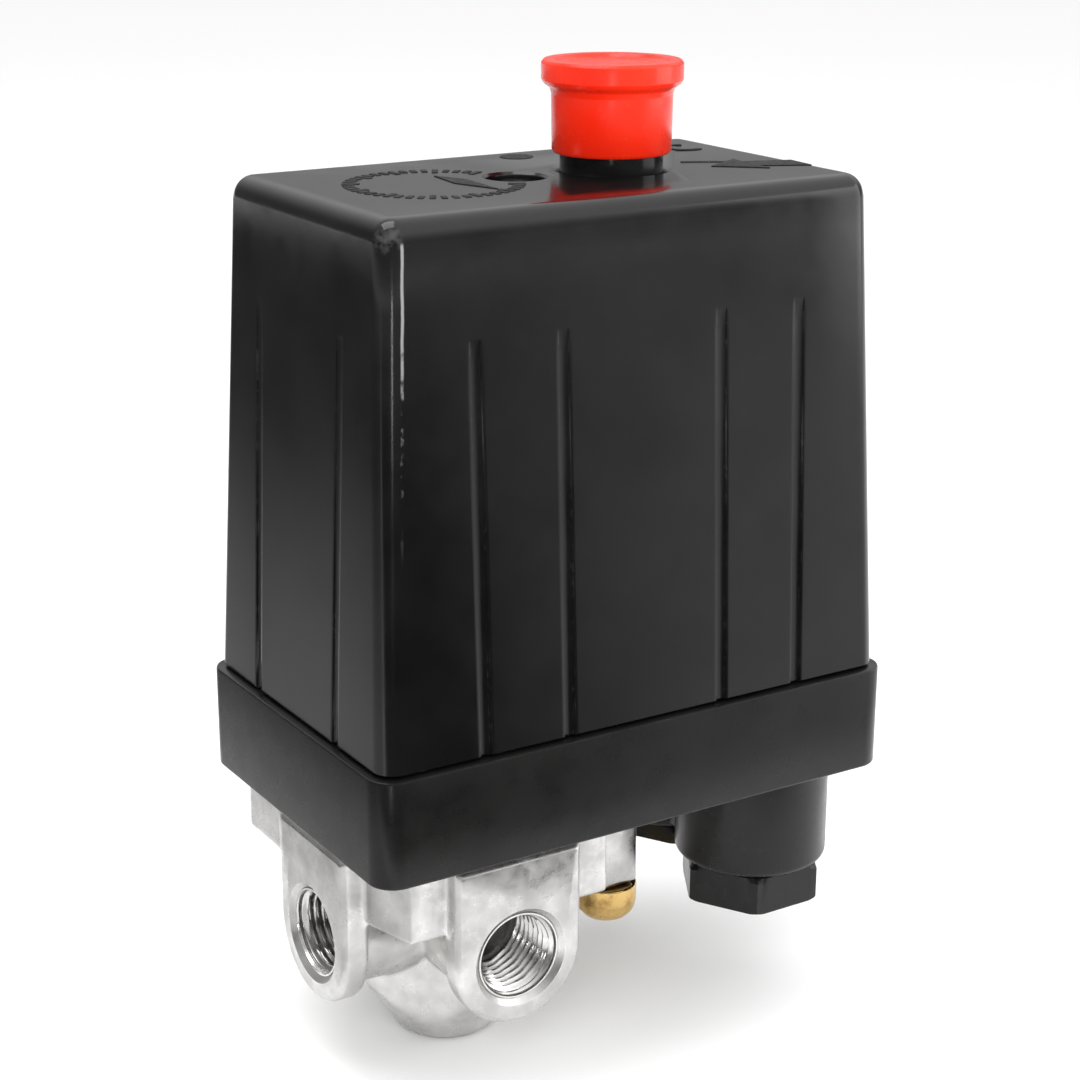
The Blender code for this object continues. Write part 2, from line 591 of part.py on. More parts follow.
def make_contact_block():
    deck = block("contact_block", (DECK_LEFT, -DECK_HALF, DECK_Z), (DECK_RIGHT, DECK_HALF, DECK_TOP),
                 "brown_bakelite")
    for side in (-1, 1):
        leg = sorted((side * 17.5, side * (DECK_HALF - 0.1)))
        stand = sorted((side * 9.5, side * 16.8))
        ear = sorted((side * 6.0, side * 8.0))
        join(deck,
             block(f"right_leg_{side}", (40.0, leg[0], PLATE_Z), (59.0, leg[1], DECK_Z + 1)),
             block(f"left_leg_{side}", (DECK_LEFT + 0.1, leg[0], ON_PLATE), (28.0, leg[1], DECK_Z + 1)),
             block(f"left_stand_{side}", (25.5, stand[0], DECK_TOP - 1), (36.0, stand[1], PEDESTAL_TOP)),
             block(f"right_stand_{side}", (49.5, stand[0], DECK_TOP - 1), (59.8, stand[1], PEDESTAL_TOP)),
             block(f"trip_ear_{side}", (TRIP_X - 3, ear[0], DECK_TOP - 1), (TRIP_X + 3, ear[1], TRIP_Z + 3.5)))
    cut(deck,
        block("carrier_way", (CARRIER_X - 1.7, -15.5, DECK_Z - 2), (CARRIER_X + 1.7, 15.5, DECK_TOP + 2)),
        rod("ear_bore", PIN_HOLE, (TRIP_X, -9, TRIP_Z), (TRIP_X, 9, TRIP_Z), sides=20))
    return deck


def make_contacts(deck):
    """Two poles, each with a left and a right terminal and a moving bridge between them."""
    ends = {"left": (26.0, 40.2, 30.5, CONTACT_X[0]), "right": (45.2, 59.5, 55.0, CONTACT_X[1])}
    for pole, y in (("front", -POLE_Y), ("back", POLE_Y)):
        for end, (x_low, x_high, screw_x, contact_x) in ends.items():
            name = f"terminal_{pole}_{end}"
            strip = block(name, (x_low, y - 3.2, PEDESTAL_TOP + GAP), (x_high, y + 3.2, PEDESTAL_TOP + 1.5),
                          "brass")
            join(strip, upright(name + "_button", CONTACT_RADIUS, (contact_x, y), PEDESTAL_TOP - 0.6,
                                PEDESTAL_TOP + 1.0, sides=16))
            cut(strip, upright(name + "_hole", 2.0, (screw_x, y), PEDESTAL_TOP - 1, PEDESTAL_TOP + 3, sides=16))
            cut(deck, upright(name + "_thread", 2.0, (screw_x, y), 69.0, PEDESTAL_TOP + 3, sides=16))
            pan_screw(f"terminal_screw_{pole}_{end}", (screw_x, y), PEDESTAL_TOP + 1.5 + GAP, 3.1, 2.2, 1.7,
                      70.0, "zinc_steel")
        bridge = block(f"moving_contact_{pole}", (36.9, y - 2.3, 70.3), (48.5, y + 2.3, 71.3), "brass")
        for i, contact_x in enumerate(CONTACT_X):
            join(bridge, upright(f"moving_button_{pole}_{i}", CONTACT_RADIUS, (contact_x, y), 70.8, 71.9,
                                 sides=16))


def make_carrier():
    thin = 1.3
    carrier = block("contact_carrier", (CARRIER_X - thin, -15.0, 60.0), (CARRIER_X + thin, 15.0, 70.0),
                    "black_nylon")
    join(carrier, block("carrier_push", (CARRIER_X - thin + 0.1, -3.0, 61.0),
                        (CARRIER_X + thin - 0.1, 3.0, 83.7)))
    coil("carrier_spring", 2.4, 0.4, (CARRIER_X, 0), PLATE_Z, 59.7, 6, "spring_steel")


def make_unloader():
    body = block("unloader_body", (UNLOADER_X - 3.6, -4.0, UNLOADER_LOW), (UNLOADER_X + 3.6, 4.0, FLANGE_TOP),
                 "die_cast", corner=1.2, segments=2)
    at = (UNLOADER_X, 0)
    join(body, upright("unloader_neck", NECK_RADIUS, at, FLANGE_TOP - 2, 47.5))
    cut(body,
        upright("pin_way", 1.5, at, UNLOADER_LOW + 5, 50, sides=20),
        upright("valve_chamber", 3.0, at, UNLOADER_LOW - 2, CHAMBER_TOP, sides=24))
    nut = upright("unloader_nut", 6.2, at, ON_PLATE, 47.2, "zinc_steel", sides=6)
    cut(nut, upright("nut_hole", NECK_RADIUS + GAP, at, ON_PLATE - 2, 50))
    turned("unloader_pin", [
        (0.0, LEVER_LOW - GAP), (1.2, LEVER_LOW - GAP), (1.2, 24.0), (2.4, 23.6), (2.4, 22.0), (0.0, 22.0)],
        at, "brass", steps=20)
    coil("unloader_spring", 2.1, 0.3, at, 16.7, 21.7, 3, "spring_steel")
    turned("unloader_fitting", [
        (2.7, 16.4), (2.7, 15.7), (5.0, 15.7), (5.0, 12.6), (4.7, 11.2), (3.9, 10.1), (2.6, 9.5),
        (1.5, 9.5), (1.5, 16.4)], at, "brass", closed=True, steps=24)


clear_scene()
PARTS = new_collection("pressure_switch")
CUTTERS = new_collection("cutters")
make_cover()
make_tray()
make_glands()
make_manifold()
make_diaphragm()
make_base_plate()
make_lever()
make_range_spring()
make_knob()
make_trip_lever()
make_contacts(make_contact_block())
make_carrier()
make_unloader()
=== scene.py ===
"""Looks of the pressure switch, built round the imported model.

Sizes are in millimetres unless a name says otherwise, and MM turns them into Blender's metres.
"""
import json
import math

import bmesh
import bpy
from mathutils import Matrix, Vector


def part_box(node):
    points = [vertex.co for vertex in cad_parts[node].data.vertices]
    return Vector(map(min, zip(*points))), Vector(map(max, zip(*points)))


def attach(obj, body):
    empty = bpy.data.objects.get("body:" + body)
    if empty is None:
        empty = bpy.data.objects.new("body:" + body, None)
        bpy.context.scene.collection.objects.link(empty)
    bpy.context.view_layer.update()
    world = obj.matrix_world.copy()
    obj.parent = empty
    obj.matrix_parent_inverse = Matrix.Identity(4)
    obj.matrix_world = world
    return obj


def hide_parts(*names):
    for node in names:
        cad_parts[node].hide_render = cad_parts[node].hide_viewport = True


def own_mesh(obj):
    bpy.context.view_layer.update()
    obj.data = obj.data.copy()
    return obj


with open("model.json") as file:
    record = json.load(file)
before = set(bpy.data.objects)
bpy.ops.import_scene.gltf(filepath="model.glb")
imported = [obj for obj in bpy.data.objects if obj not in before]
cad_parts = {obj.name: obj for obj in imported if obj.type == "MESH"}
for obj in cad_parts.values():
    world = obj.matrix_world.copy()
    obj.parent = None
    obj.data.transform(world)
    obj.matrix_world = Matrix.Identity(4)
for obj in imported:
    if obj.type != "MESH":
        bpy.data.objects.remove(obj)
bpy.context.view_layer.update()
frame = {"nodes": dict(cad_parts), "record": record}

MM = 0.001


def cad_box(node):
    """Lowest and highest corner of a CAD node, in millimetres."""
    return [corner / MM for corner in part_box(node)]


COVER_LOW, COVER_HIGH = cad_box("cover")
TRAY_LOW, TRAY_HIGH = cad_box("base_tray")
MANIFOLD_TOP = cad_box("manifold")[1].z
KNOB_LOW, KNOB_HIGH = cad_box("knob_cap")
SCREW_LOW, SCREW_HIGH = cad_box("cover_screw")
UNLOADER_LOW, UNLOADER_HIGH = cad_box("unloader_body")
FITTING_LOW, FITTING_HIGH = cad_box("unloader_fitting")
NUT_BOX = {side: cad_box(f"gland_nut_{side}") for side in ("front", "back")}
SEAL_LOW, SEAL_HIGH = cad_box("gland_seal_front")
PIN_LOW, PIN_HIGH = cad_box("unloader_pin")

CASE_X = (TRAY_LOW.x + TRAY_HIGH.x) / 2
COVER_FOOT = ((COVER_HIGH.x - COVER_LOW.x) / 2, (COVER_HIGH.y - COVER_LOW.y) / 2)
COVER_CROWN = (COVER_FOOT[0] - 3.1, COVER_FOOT[1] - 3.4)   # half sizes at the top
COVER_EDGE = 3.3
COVER_WALL = 2.0
TRAY_HALF = ((TRAY_HIGH.x - TRAY_LOW.x) / 2, (TRAY_HIGH.y - TRAY_LOW.y) / 2)
TRAY_UNDER = MANIFOLD_TOP + 0.3
TRAY_RIM = COVER_LOW.z - 0.3
TRAY_WALL = 3.2
TRAY_CORNER = 4.0
KNOB_AT = ((KNOB_LOW.x + KNOB_HIGH.x) / 2, 0.0)
SCREW_AT = ((SCREW_LOW.x + SCREW_HIGH.x) / 2, 0.0)
UNLOADER_AT = ((PIN_LOW.x + PIN_HIGH.x) / 2, 0.0)
GLAND_X = (SEAL_LOW.x + SEAL_HIGH.x) / 2
GLAND_Y = abs(SEAL_LOW.y + SEAL_HIGH.y) / 2
GLAND_HOLE = 9.4
PORT_Z = 20.4                  # height of the side ports' axes
PORT_FACE = 23.2
PORT_RADIUS = 6.6
LUG_RADIUS = 10.8
BLOCK_HALF = (17.0, 20.4)      # the manifold's block between its lugs
BLOCK_LOW = 25.6
LIP_HALF = (18.6, 21.9)
LIP_LOW = 36.9
EAR_LOW = (-23.0, 9.0, 29.8)   # the flange's ear at the back left
EAR_HIGH = (-10.0, 22.2)
LUG_THICK = 4.4
LUG_CHAMFER_Z = 35.7           # where the lug's face turns back under the case
NECK_RADIUS = 9.0
HUB_FOOT = 7.9
HUB_FLAT = 10.8                # from the axis to each diagonal flat
Z_UP = Vector((0, 0, 1))


# ---------------------------------------------------------------- mesh helpers

def new_object(name, bm, smooth_angle=32):
    bmesh.ops.recalc_face_normals(bm, faces=bm.faces)
    mesh = bpy.data.meshes.new(name)
    bm.to_mesh(mesh)
    bm.free()
    mesh.shade_smooth()
    mesh.set_sharp_from_angle(angle=math.radians(smooth_angle))
    obj = bpy.data.objects.new(name, mesh)
    bpy.context.scene.collection.objects.link(obj)
    return obj


def finish_piece(obj, material, body="housing", stands_for=()):
    """Gives a piece its material and slot, and lets it ride on its body."""
    obj.data.materials.clear()
    obj.data.materials.append(material)
    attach(obj, body)
    if stands_for:
        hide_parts(*stands_for)
    return obj


def skin(rings, loop=False):
    """A closed surface through rings of points. A ring of one point is a pole."""
    bm = bmesh.new()
    made = [[bm.verts.new(Vector(p) * MM) for p in ring] for ring in rings]
    pairs = list(zip(made, made[1:]))
    if loop:
        pairs.append((made[-1], made[0]))
    for low, high in pairs:
        count = max(len(low), len(high))
        for i in range(count):
            j = (i + 1) % count
            if len(low) == 1:
                bm.faces.new((low[0], high[j], high[i]))
            elif len(high) == 1:
                bm.faces.new((low[i], low[j], high[0]))
            else:
                bm.faces.new((low[i], low[j], high[j], high[i]))
    if not loop:
        for ring in (made[0], made[-1]):
            if len(ring) > 2:
                bm.faces.new(ring)
    return bm


def filleted(points):
    """A profile of (radius, z) points, where a third number rounds that corner."""
    segments = 5
    line = []
    for i, point in enumerate(points):
        if len(point) == 2 or point[2] <= 0:
            line.append((point[0], point[1]))
            continue
        here = Vector(point[:2])
        before = Vector(points[i - 1][:2]) - here
        after = Vector(points[(i + 1) % len(points)][:2]) - here
        half = before.angle(after) / 2
        reach = min(point[2] / math.tan(half), before.length * 0.49, after.length * 0.49)
        start = here + before.normalized() * reach
        end = here + after.normalized() * reach
        radius = reach * math.tan(half)
        centre = here + (before.normalized() + after.normalized()).normalized() * radius / math.sin(half)
        a = start - centre
        b = end - centre
        for k in range(segments + 1):
            t = k / segments
            arm = a.lerp(b, t)
            line.append(tuple(centre + arm.normalized() * radius))
    return line


def lathe(name, points, at=(0.0, 0.0), steps=96, loop=False):
    """A turned piece about the upright line through at."""
    rings = []
    for radius, z in filleted(points):
        if radius < 1e-6:
            rings.append([(at[0], at[1], z)])
            continue
        rings.append([(at[0] + radius * math.cos(math.tau * k / steps),
                       at[1] + radius * math.sin(math.tau * k / steps), z) for k in range(steps)])
    return new_object(name, skin(rings, loop=loop))


def perimeter(half_x, half_y, radius, centre_x, z, marks_x=(), marks_y=(), depth=0.0):
    """A rounded rectangle of points, with grooves of that depth at the marks along its sides."""
    shape = ((-1.4, 0.0), (-0.98, 0.0), (-0.9, 0.1), (-0.78, 0.85), (-0.66, 1.0), (0.66, 1.0),
             (0.78, 0.85), (0.9, 0.1), (0.98, 0.0), (1.4, 0.0))
    corner_steps = 10
    points = []
    sides = (((1, 0), half_x, half_y, marks_y), ((0, 1), half_y, half_x, marks_x),
             ((-1, 0), half_x, half_y, marks_y), ((0, -1), half_y, half_x, marks_x))
    for side, (normal, out, reach, marks) in enumerate(sides):
        nx, ny = normal
        tx, ty = -ny, nx
        for mark in marks:
            for offset, weight in shape:
                along = mark + offset
                inset = out - depth * weight
                points.append((centre_x + nx * inset + tx * along, ny * inset + ty * along, z))
        cx = nx * (out - radius) + tx * (reach - radius)
        cy = ny * (out - radius) + ty * (reach - radius)
        start = side * math.pi / 2
        for k in range(corner_steps + 1):
            angle = start + (math.pi / 2) * k / corner_steps
            points.append((centre_x + cx + radius * math.cos(angle), cy + radius * math.sin(angle), z))
    return points


def boolean(obj, tool, operation="DIFFERENCE"):
    """Applies one Boolean and deletes its tool."""
    modifier = obj.modifiers.new("cut", "BOOLEAN")
    modifier.operation = operation
    modifier.object = tool
    modifier.solver = "EXACT"
    apply_modifiers(obj)
    bpy.data.objects.remove(tool)


def apply_modifiers(obj):
    bpy.context.view_layer.update()
    graph = bpy.context.evaluated_depsgraph_get()
    mesh = bpy.data.meshes.new_from_object(obj.evaluated_get(graph))
    obj.modifiers.clear()
    old = obj.data
    obj.data = mesh
    bpy.data.meshes.remove(old)


def rod_mesh(radius, start, end, end_radius=None):
    """A straight rod as a bmesh, tapered where it is given a second radius."""
    start = Vector(start)
    end = Vector(end)
    along = end - start
    bm = bmesh.new()
    bmesh.ops.create_cone(bm, cap_ends=True, segments=96, radius1=radius * MM,
                          radius2=(radius if end_radius is None else end_radius) * MM,
                          depth=along.length * MM)
    turn = Vector((0, 0, 1)).rotation_difference(along).to_matrix().to_4x4()
    bmesh.ops.transform(bm, matrix=Matrix.Translation((start + end) / 2 * MM) @ turn, verts=bm.verts)
    return bm


def rod_tool(*args, **options):
    """The same rod as an object, for a Boolean."""
    return new_object("tool", rod_mesh(*args, **options))


def box_mesh(low, high, corner=0.0, segments=4, edges="all"):
    """A box as a bmesh, with all its edges or only its upright ones rounded."""
    low = Vector(low)
    high = Vector(high)
    bm = bmesh.new()
    bmesh.ops.create_cube(bm, size=1.0)
    bmesh.ops.scale(bm, vec=(high - low) * MM, verts=bm.verts)
    bmesh.ops.translate(bm, vec=(low + high) / 2 * MM, verts=bm.verts)
    if corner:
        chosen = [e for e in bm.edges
                  if edges == "all" or abs((e.verts[0].co - e.verts[1].co).z) > 1e-7]
        bmesh.ops.bevel(bm, geom=chosen, offset=corner * MM, segments=segments, profile=0.5,
                        affect="EDGES")
    return bm


def merge_in(bm, other):
    """Adds another bmesh's faces to bm."""
    mesh = bpy.data.meshes.new("part")
    other.to_mesh(mesh)
    other.free()
    bm.from_mesh(mesh)
    bpy.data.meshes.remove(mesh)


# ---------------------------------------------------------------- materials

class Nodes:
    """Short calls for building one material's node tree."""

    def __init__(self, name, colour, roughness, metallic=0.0):
        self.material = bpy.data.materials.new(name)
        self.material.use_nodes = True
        self.tree = self.material.node_tree
        self.shader = self.tree.nodes["Principled BSDF"]
        self.set("Base Color", (*colour, 1.0))
        self.set("Roughness", roughness)
        self.set("Metallic", metallic)
        self.place = self.add("ShaderNodeTexCoord").outputs["Object"]

    def add(self, kind, **settings):
        node = self.tree.nodes.new(kind)
        for key, value in settings.items():
            setattr(node, key, value)
        return node

    def set(self, socket, value):
        self.shader.inputs[socket].default_value = value

    def link(self, output, target):
        self.tree.links.new(output, target)

    def noise(self, scale, detail, stretch=None):
        node = self.add("ShaderNodeTexNoise")
        node.inputs["Scale"].default_value = scale
        node.inputs["Detail"].default_value = detail
        node.inputs["Roughness"].default_value = 0.55
        self.link(self.stretched(stretch), node.inputs["Vector"])
        return node.outputs["Fac"]

    def stretched(self, stretch):
        if stretch is None:
            return self.place
        mapping = self.add("ShaderNodeMapping")
        mapping.inputs["Scale"].default_value = stretch
        self.link(self.place, mapping.inputs["Vector"])
        return mapping.outputs["Vector"]

    def math(self, operation, a, b=0.0):
        node = self.add("ShaderNodeMath", operation=operation)
        for socket, value in zip(node.inputs, (a, b)):
            if isinstance(value, (int, float)):
                socket.default_value = value
            else:
                self.link(value, socket)
        return node.outputs[0]

    def range(self, value, low, high, to_low=0.0, to_high=1.0, smooth=True):
        node = self.add("ShaderNodeMapRange")
        node.interpolation_type = "SMOOTHSTEP" if smooth else "LINEAR"
        node.inputs["From Min"].default_value = low
        node.inputs["From Max"].default_value = high
        node.inputs["To Min"].default_value = to_low
        node.inputs["To Max"].default_value = to_high
        self.link(value, node.inputs["Value"])
        return node.outputs["Result"]

    def mix(self, factor, a, b):
        node = self.add("ShaderNodeMix", data_type="RGBA")
        self.link(factor, node.inputs[0])
        for socket, value in ((node.inputs[6], a), (node.inputs[7], b)):
            if isinstance(value, tuple):
                socket.default_value = (*value, 1.0)
            else:
                self.link(value, socket)
        return node.outputs[2]

    def worn_edges(self, radius, low=0.06, high=0.35):
        """1 along sharp edges and 0 on flats, from how far a rounded normal leaves the true one."""
        rounded = self.add("ShaderNodeBevel", samples=4)
        rounded.inputs["Radius"].default_value = radius * MM
        true = self.add("ShaderNodeNewGeometry").outputs["Normal"]
        dot = self.add("ShaderNodeVectorMath", operation="DOT_PRODUCT")
        self.link(rounded.outputs["Normal"], dot.inputs[0])
        self.link(true, dot.inputs[1])
        return self.range(self.math("SUBTRACT", 1.0, dot.outputs["Value"]), low, high)

    def bump(self, height, strength, distance):
        node = self.add("ShaderNodeBump")
        node.inputs["Strength"].default_value = strength
        node.inputs["Distance"].default_value = distance * MM
        self.link(height, node.inputs["Height"])
        if self.shader.inputs["Normal"].is_linked:
            self.link(self.shader.inputs["Normal"].links[0].from_socket, node.inputs["Normal"])
        self.link(node.outputs["Normal"], self.shader.inputs["Normal"])

    def separate(self):
        node = self.add("ShaderNodeSeparateXYZ")
        self.link(self.place, node.inputs[0])
        return node.outputs


def black_abs():
    """Semi-gloss moulded ABS, faintly mottled, with rubbed edges, and a light line and spot on the left
    corners that are part scuff, part painted highlight.
    """
    n = Nodes("cover_abs", (0.02, 0.02, 0.021), 0.3)
    mottle = n.noise(60.0, 3.0)
    grain = n.noise(2200.0, 2.0)
    rub = n.math("MULTIPLY", n.worn_edges(0.5), n.range(n.noise(700.0, 4.0), 0.5, 0.72))
    colour = n.mix(n.range(mottle, 0.3, 0.7), (0.004, 0.004, 0.0042), (0.007, 0.007, 0.0074))
    colour = n.mix(n.math("MULTIPLY", rub, 0.5), colour, (0.11, 0.11, 0.11))
    x, y, z = n.separate()
    # A light line on the left corners, where they meet the wide faces, broken up lower down: partly a scuff,
    # partly a painted highlight standing for a light's reflection along the rounded corner.
    height = n.math("SUBTRACT", z, COVER_LOW.z * MM)
    shrink = (COVER_FOOT[0] - COVER_CROWN[0]) / (COVER_HIGH.z - COVER_LOW.z)
    side = n.math("SUBTRACT", CASE_X * MM, x)
    line_x = n.math("SUBTRACT", (COVER_FOOT[0] - COVER_EDGE + 0.35) * MM, n.math("MULTIPLY", height, shrink))
    wander = n.math("MULTIPLY", n.math("SUBTRACT", n.noise(300.0, 3.0), 0.5), 0.3 * MM)
    off_line = n.math("ABSOLUTE", n.math("ADD", n.math("SUBTRACT", side, line_x), wander))
    on_line = n.math("SUBTRACT", 1.0, n.range(off_line, 0.10 * MM, 0.30 * MM))
    on_wide = n.range(n.math("ABSOLUTE", y), (COVER_CROWN[1] - 1.2) * MM, (COVER_CROWN[1] - 0.9) * MM)
    upper = n.math("MULTIPLY", n.range(z, 84.0 * MM, 122.0 * MM), n.range(z, 129.6 * MM, 129.0 * MM))
    whole = n.range(z, 106.0 * MM, 118.0 * MM, 0.0, 0.3)
    broken = n.range(n.math("ADD", n.noise(420.0, 4.0), whole), 0.5, 0.66)
    scuff_and_highlight = n.math("MULTIPLY", n.math("MULTIPLY", on_line, on_wide), n.math("MULTIPLY", upper, broken))
    # Mixes in the light corner line: scuff and painted highlight together.
    colour = n.mix(n.math("MULTIPLY", scuff_and_highlight, 0.8), colour, (0.32, 0.32, 0.32))
    # A light patch at the very top of the front left corner: partly rubbed, partly a painted highlight where
    # a light's reflection sits on the rounded corner.
    offset = n.add("ShaderNodeVectorMath", operation="DISTANCE")
    n.link(n.place, offset.inputs[0])
    offset.inputs[1].default_value = Vector((CASE_X - COVER_CROWN[0] + 1.6, 1.3 - COVER_CROWN[1],
                                             COVER_HIGH.z - 2.6)) * MM
    rub_and_highlight_patch = n.math("MULTIPLY", n.range(offset.outputs["Value"], 2.6 * MM, 0.8 * MM),
                   n.range(n.noise(650.0, 4.0), 0.38, 0.62))
    colour = n.mix(n.math("MULTIPLY", rub_and_highlight_patch, 0.35), colour, (0.13, 0.13, 0.135))
    n.link(colour, n.shader.inputs["Base Color"])
    rough = n.range(n.noise(140.0, 4.0), 0.3, 0.7, 0.13, 0.21)
    n.link(n.math("ADD", rough, n.math("MULTIPLY", n.math("ADD", rub, scuff_and_highlight), 0.22)),
           n.shader.inputs["Roughness"])
    n.bump(grain, 0.10, 0.03)
    n.bump(n.noise(90.0, 2.0), 0.18, 0.10)
    n.set("Specular IOR Level", 0.44)
    return n.material


def matte_marking():
    """Stone-textured raised marks, which stay dark where the gloss round them shines."""
    n = Nodes("matte_marking", (0.02, 0.02, 0.02), 0.7)
    n.link(n.mix(n.range(n.noise(900.0, 3.0), 0.3, 0.7), (0.014, 0.014, 0.014), (0.03, 0.03, 0.03)),
           n.shader.inputs["Base Color"])
    n.link(n.range(n.noise(1500.0, 3.0), 0.3, 0.7, 0.6, 0.8), n.shader.inputs["Roughness"])
    n.set("Specular IOR Level", 0.2)
    n.bump(n.noise(2600.0, 2.0), 0.4, 0.05)
    return n.material


def black_nylon():
    """Satin moulded nylon with a light spark-eroded grain and rubbed edges."""
    n = Nodes("tray_nylon", (0.022, 0.022, 0.022), 0.4)
    rub = n.math("MULTIPLY", n.worn_edges(0.45), n.range(n.noise(600.0, 4.0), 0.48, 0.7))
    colour = n.mix(n.range(n.noise(80.0, 3.0), 0.3, 0.7), (0.004, 0.004, 0.004), (0.007, 0.007, 0.0067))
    n.link(n.mix(n.math("MULTIPLY", rub, 0.55), colour, (0.13, 0.13, 0.125)), n.shader.inputs["Base Color"])
    n.link(n.range(n.noise(200.0, 4.0), 0.3, 0.7, 0.24, 0.34), n.shader.inputs["Roughness"])
    n.bump(n.noise(1800.0, 3.0), 0.2, 0.04)
    n.set("Specular IOR Level", 0.34)
    return n.material


def red_plastic():
    """Bright glossy orange-red moulded plastic with faint flow marks and softened edges."""
    n = Nodes("knob_red", (0.82, 0.03, 0.008), 0.24)
    flow = n.noise(70.0, 3.0, stretch=(1.0, 1.0, 0.4))
    colour = n.mix(n.range(flow, 0.3, 0.7), (0.96, 0.018, 0.003), (1.0, 0.032, 0.008))
    rub = n.math("MULTIPLY", n.worn_edges(0.35), n.range(n.noise(900.0, 3.0), 0.5, 0.75))
    n.link(n.mix(n.math("MULTIPLY", rub, 0.4), colour, (1.0, 0.28, 0.2)), n.shader.inputs["Base Color"])
    n.link(n.range(n.noise(260.0, 4.0), 0.3, 0.7, 0.2, 0.3), n.shader.inputs["Roughness"])
    n.bump(n.noise(1500.0, 2.0), 0.06, 0.03)
    n.set("Specular IOR Level", 0.35)
    n.set("Subsurface Weight", 0.08)
    n.set("Subsurface Radius", (0.002, 0.0006, 0.0003))
    return n.material


def die_cast(name="cast_aluminium", machined=False):
    """Bright tumbled die-cast aluminium: soft pits and flow marks, polished on its edges."""
    n = Nodes(name, (0.78, 0.77, 0.76), 0.3, 1.0)
    cloud = n.noise(160.0, 4.0)
    colour = n.mix(n.range(cloud, 0.3, 0.72), (0.54, 0.535, 0.524), (0.74, 0.732, 0.72))
    edge = n.worn_edges(0.6, 0.04, 0.3)
    n.link(n.mix(n.math("MULTIPLY", edge, 0.8), colour, (0.92, 0.915, 0.90)), n.shader.inputs["Base Color"])
    if machined:
        n.link(n.range(n.noise(900.0, 3.0), 0.3, 0.7, 0.16, 0.28), n.shader.inputs["Roughness"])
        n.bump(n.noise(1500.0, 2.0), 0.12, 0.03)
    else:
        rough = n.range(n.noise(420.0, 4.0), 0.3, 0.7, 0.24, 0.42)
        n.link(n.math("SUBTRACT", rough, n.math("MULTIPLY", edge, 0.1)), n.shader.inputs["Roughness"])
        n.bump(n.noise(230.0, 3.0), 0.45, 0.16)
        n.bump(n.noise(1400.0, 3.0), 0.22, 0.04)
    return n.material


def brass():
    """Turned brass, darker and redder where it has tarnished."""
    n = Nodes("turned_brass", (0.72, 0.50, 0.2), 0.24, 1.0)
    tarnish = n.range(n.noise(260.0, 4.0), 0.46, 0.72)
    n.link(n.mix(tarnish, (0.74, 0.50, 0.19), (0.40, 0.22, 0.07)), n.shader.inputs["Base Color"])
    n.link(n.range(n.noise(600.0, 3.0), 0.3, 0.7, 0.16, 0.32), n.shader.inputs["Roughness"])
    n.bump(n.noise(120.0, 2.0, stretch=(1.0, 1.0, 40.0)), 0.12, 0.03)
    return n.material


def zinc_steel():
    """Cloudy bright zinc plating on pressed steel."""
    n = Nodes("zinc_plate", (0.62, 0.63, 0.64), 0.3, 1.0)
    n.link(n.mix(n.range(n.noise(220.0, 4.0), 0.3, 0.7), (0.52, 0.53, 0.55), (0.72, 0.73, 0.73)),
           n.shader.inputs["Base Color"])
    n.link(n.range(n.noise(500.0, 4.0), 0.3, 0.7, 0.22, 0.4), n.shader.inputs["Roughness"])
    n.bump(n.noise(900.0, 3.0), 0.12, 0.03)
    return n.material


def spring_steel():
    """Drawn wire, darker than the plated parts."""
    n = Nodes("spring_wire", (0.34, 0.34, 0.36), 0.28, 1.0)
    n.link(n.mix(n.range(n.noise(400.0, 3.0), 0.3, 0.7), (0.26, 0.26, 0.28), (0.44, 0.44, 0.46)),
           n.shader.inputs["Base Color"])
    n.bump(n.noise(1500.0, 2.0), 0.15, 0.03)
    return n.material


def rubber():
    """Matt black rubber with a fine grain."""
    n = Nodes("black_rubber", (0.012, 0.012, 0.012), 0.7)
    n.link(n.mix(n.range(n.noise(300.0, 3.0), 0.3, 0.7), (0.008, 0.008, 0.008), (0.02, 0.02, 0.019)),
           n.shader.inputs["Base Color"])
    n.link(n.range(n.noise(700.0, 3.0), 0.3, 0.7, 0.6, 0.8), n.shader.inputs["Roughness"])
    n.bump(n.noise(1600.0, 3.0), 0.25, 0.04)
    return n.material


def bakelite():
    """Brown pressed resin with a fine mottle."""
    n = Nodes("brown_resin", (0.11, 0.045, 0.022), 0.38)
    n.link(n.mix(n.range(n.noise(350.0, 5.0), 0.3, 0.7), (0.075, 0.03, 0.015), (0.15, 0.065, 0.03)),
           n.shader.inputs["Base Color"])
    n.link(n.range(n.noise(500.0, 3.0), 0.3, 0.7, 0.3, 0.45), n.shader.inputs["Roughness"])
    n.bump(n.noise(1200.0, 2.0), 0.12, 0.03)
    return n.material


MATERIALS = {
    "case_black": black_abs(), "nylon_black": black_nylon(), "red_plastic": red_plastic(),
    "die_cast": die_cast(), "zinc_steel": zinc_steel(), "spring_steel": spring_steel(),
    "brass": brass(), "rubber": rubber(), "bakelite": bakelite(),
}
MACHINED = die_cast("machined_aluminium", machined=True)
MARKING = matte_marking()
for part in frame["record"]["subparts"]:
    node = frame["nodes"][part["node"]]
    node.data.materials.clear()
    node.data.materials.append(MATERIALS[part["material_slot"]])


# ---------------------------------------------------------------- case

GROOVES_WIDE = (-27.4, -13.4, 13.4, 27.4)
GROOVES_NARROW = (-12.6, 12.6)
GROOVE_TOP = 115.5
GROOVE_DEPTH = 0.5
GROOVE_END = 3.2


def cover_half(z):
    """The cover's half sizes along X and Y at height z."""
    share = (z - COVER_LOW.z) / (COVER_HIGH.z - COVER_LOW.z)
    return [foot + share * (crown - foot) for foot, crown in zip(COVER_FOOT, COVER_CROWN)]


def cover_ring(z, inset=0.0, radius=COVER_EDGE, depth=0.0):
    half_x, half_y = cover_half(z)
    return perimeter(half_x - inset, half_y - inset, radius, CASE_X, z,
                     marks_x=GROOVES_WIDE, marks_y=GROOVES_NARROW, depth=depth)


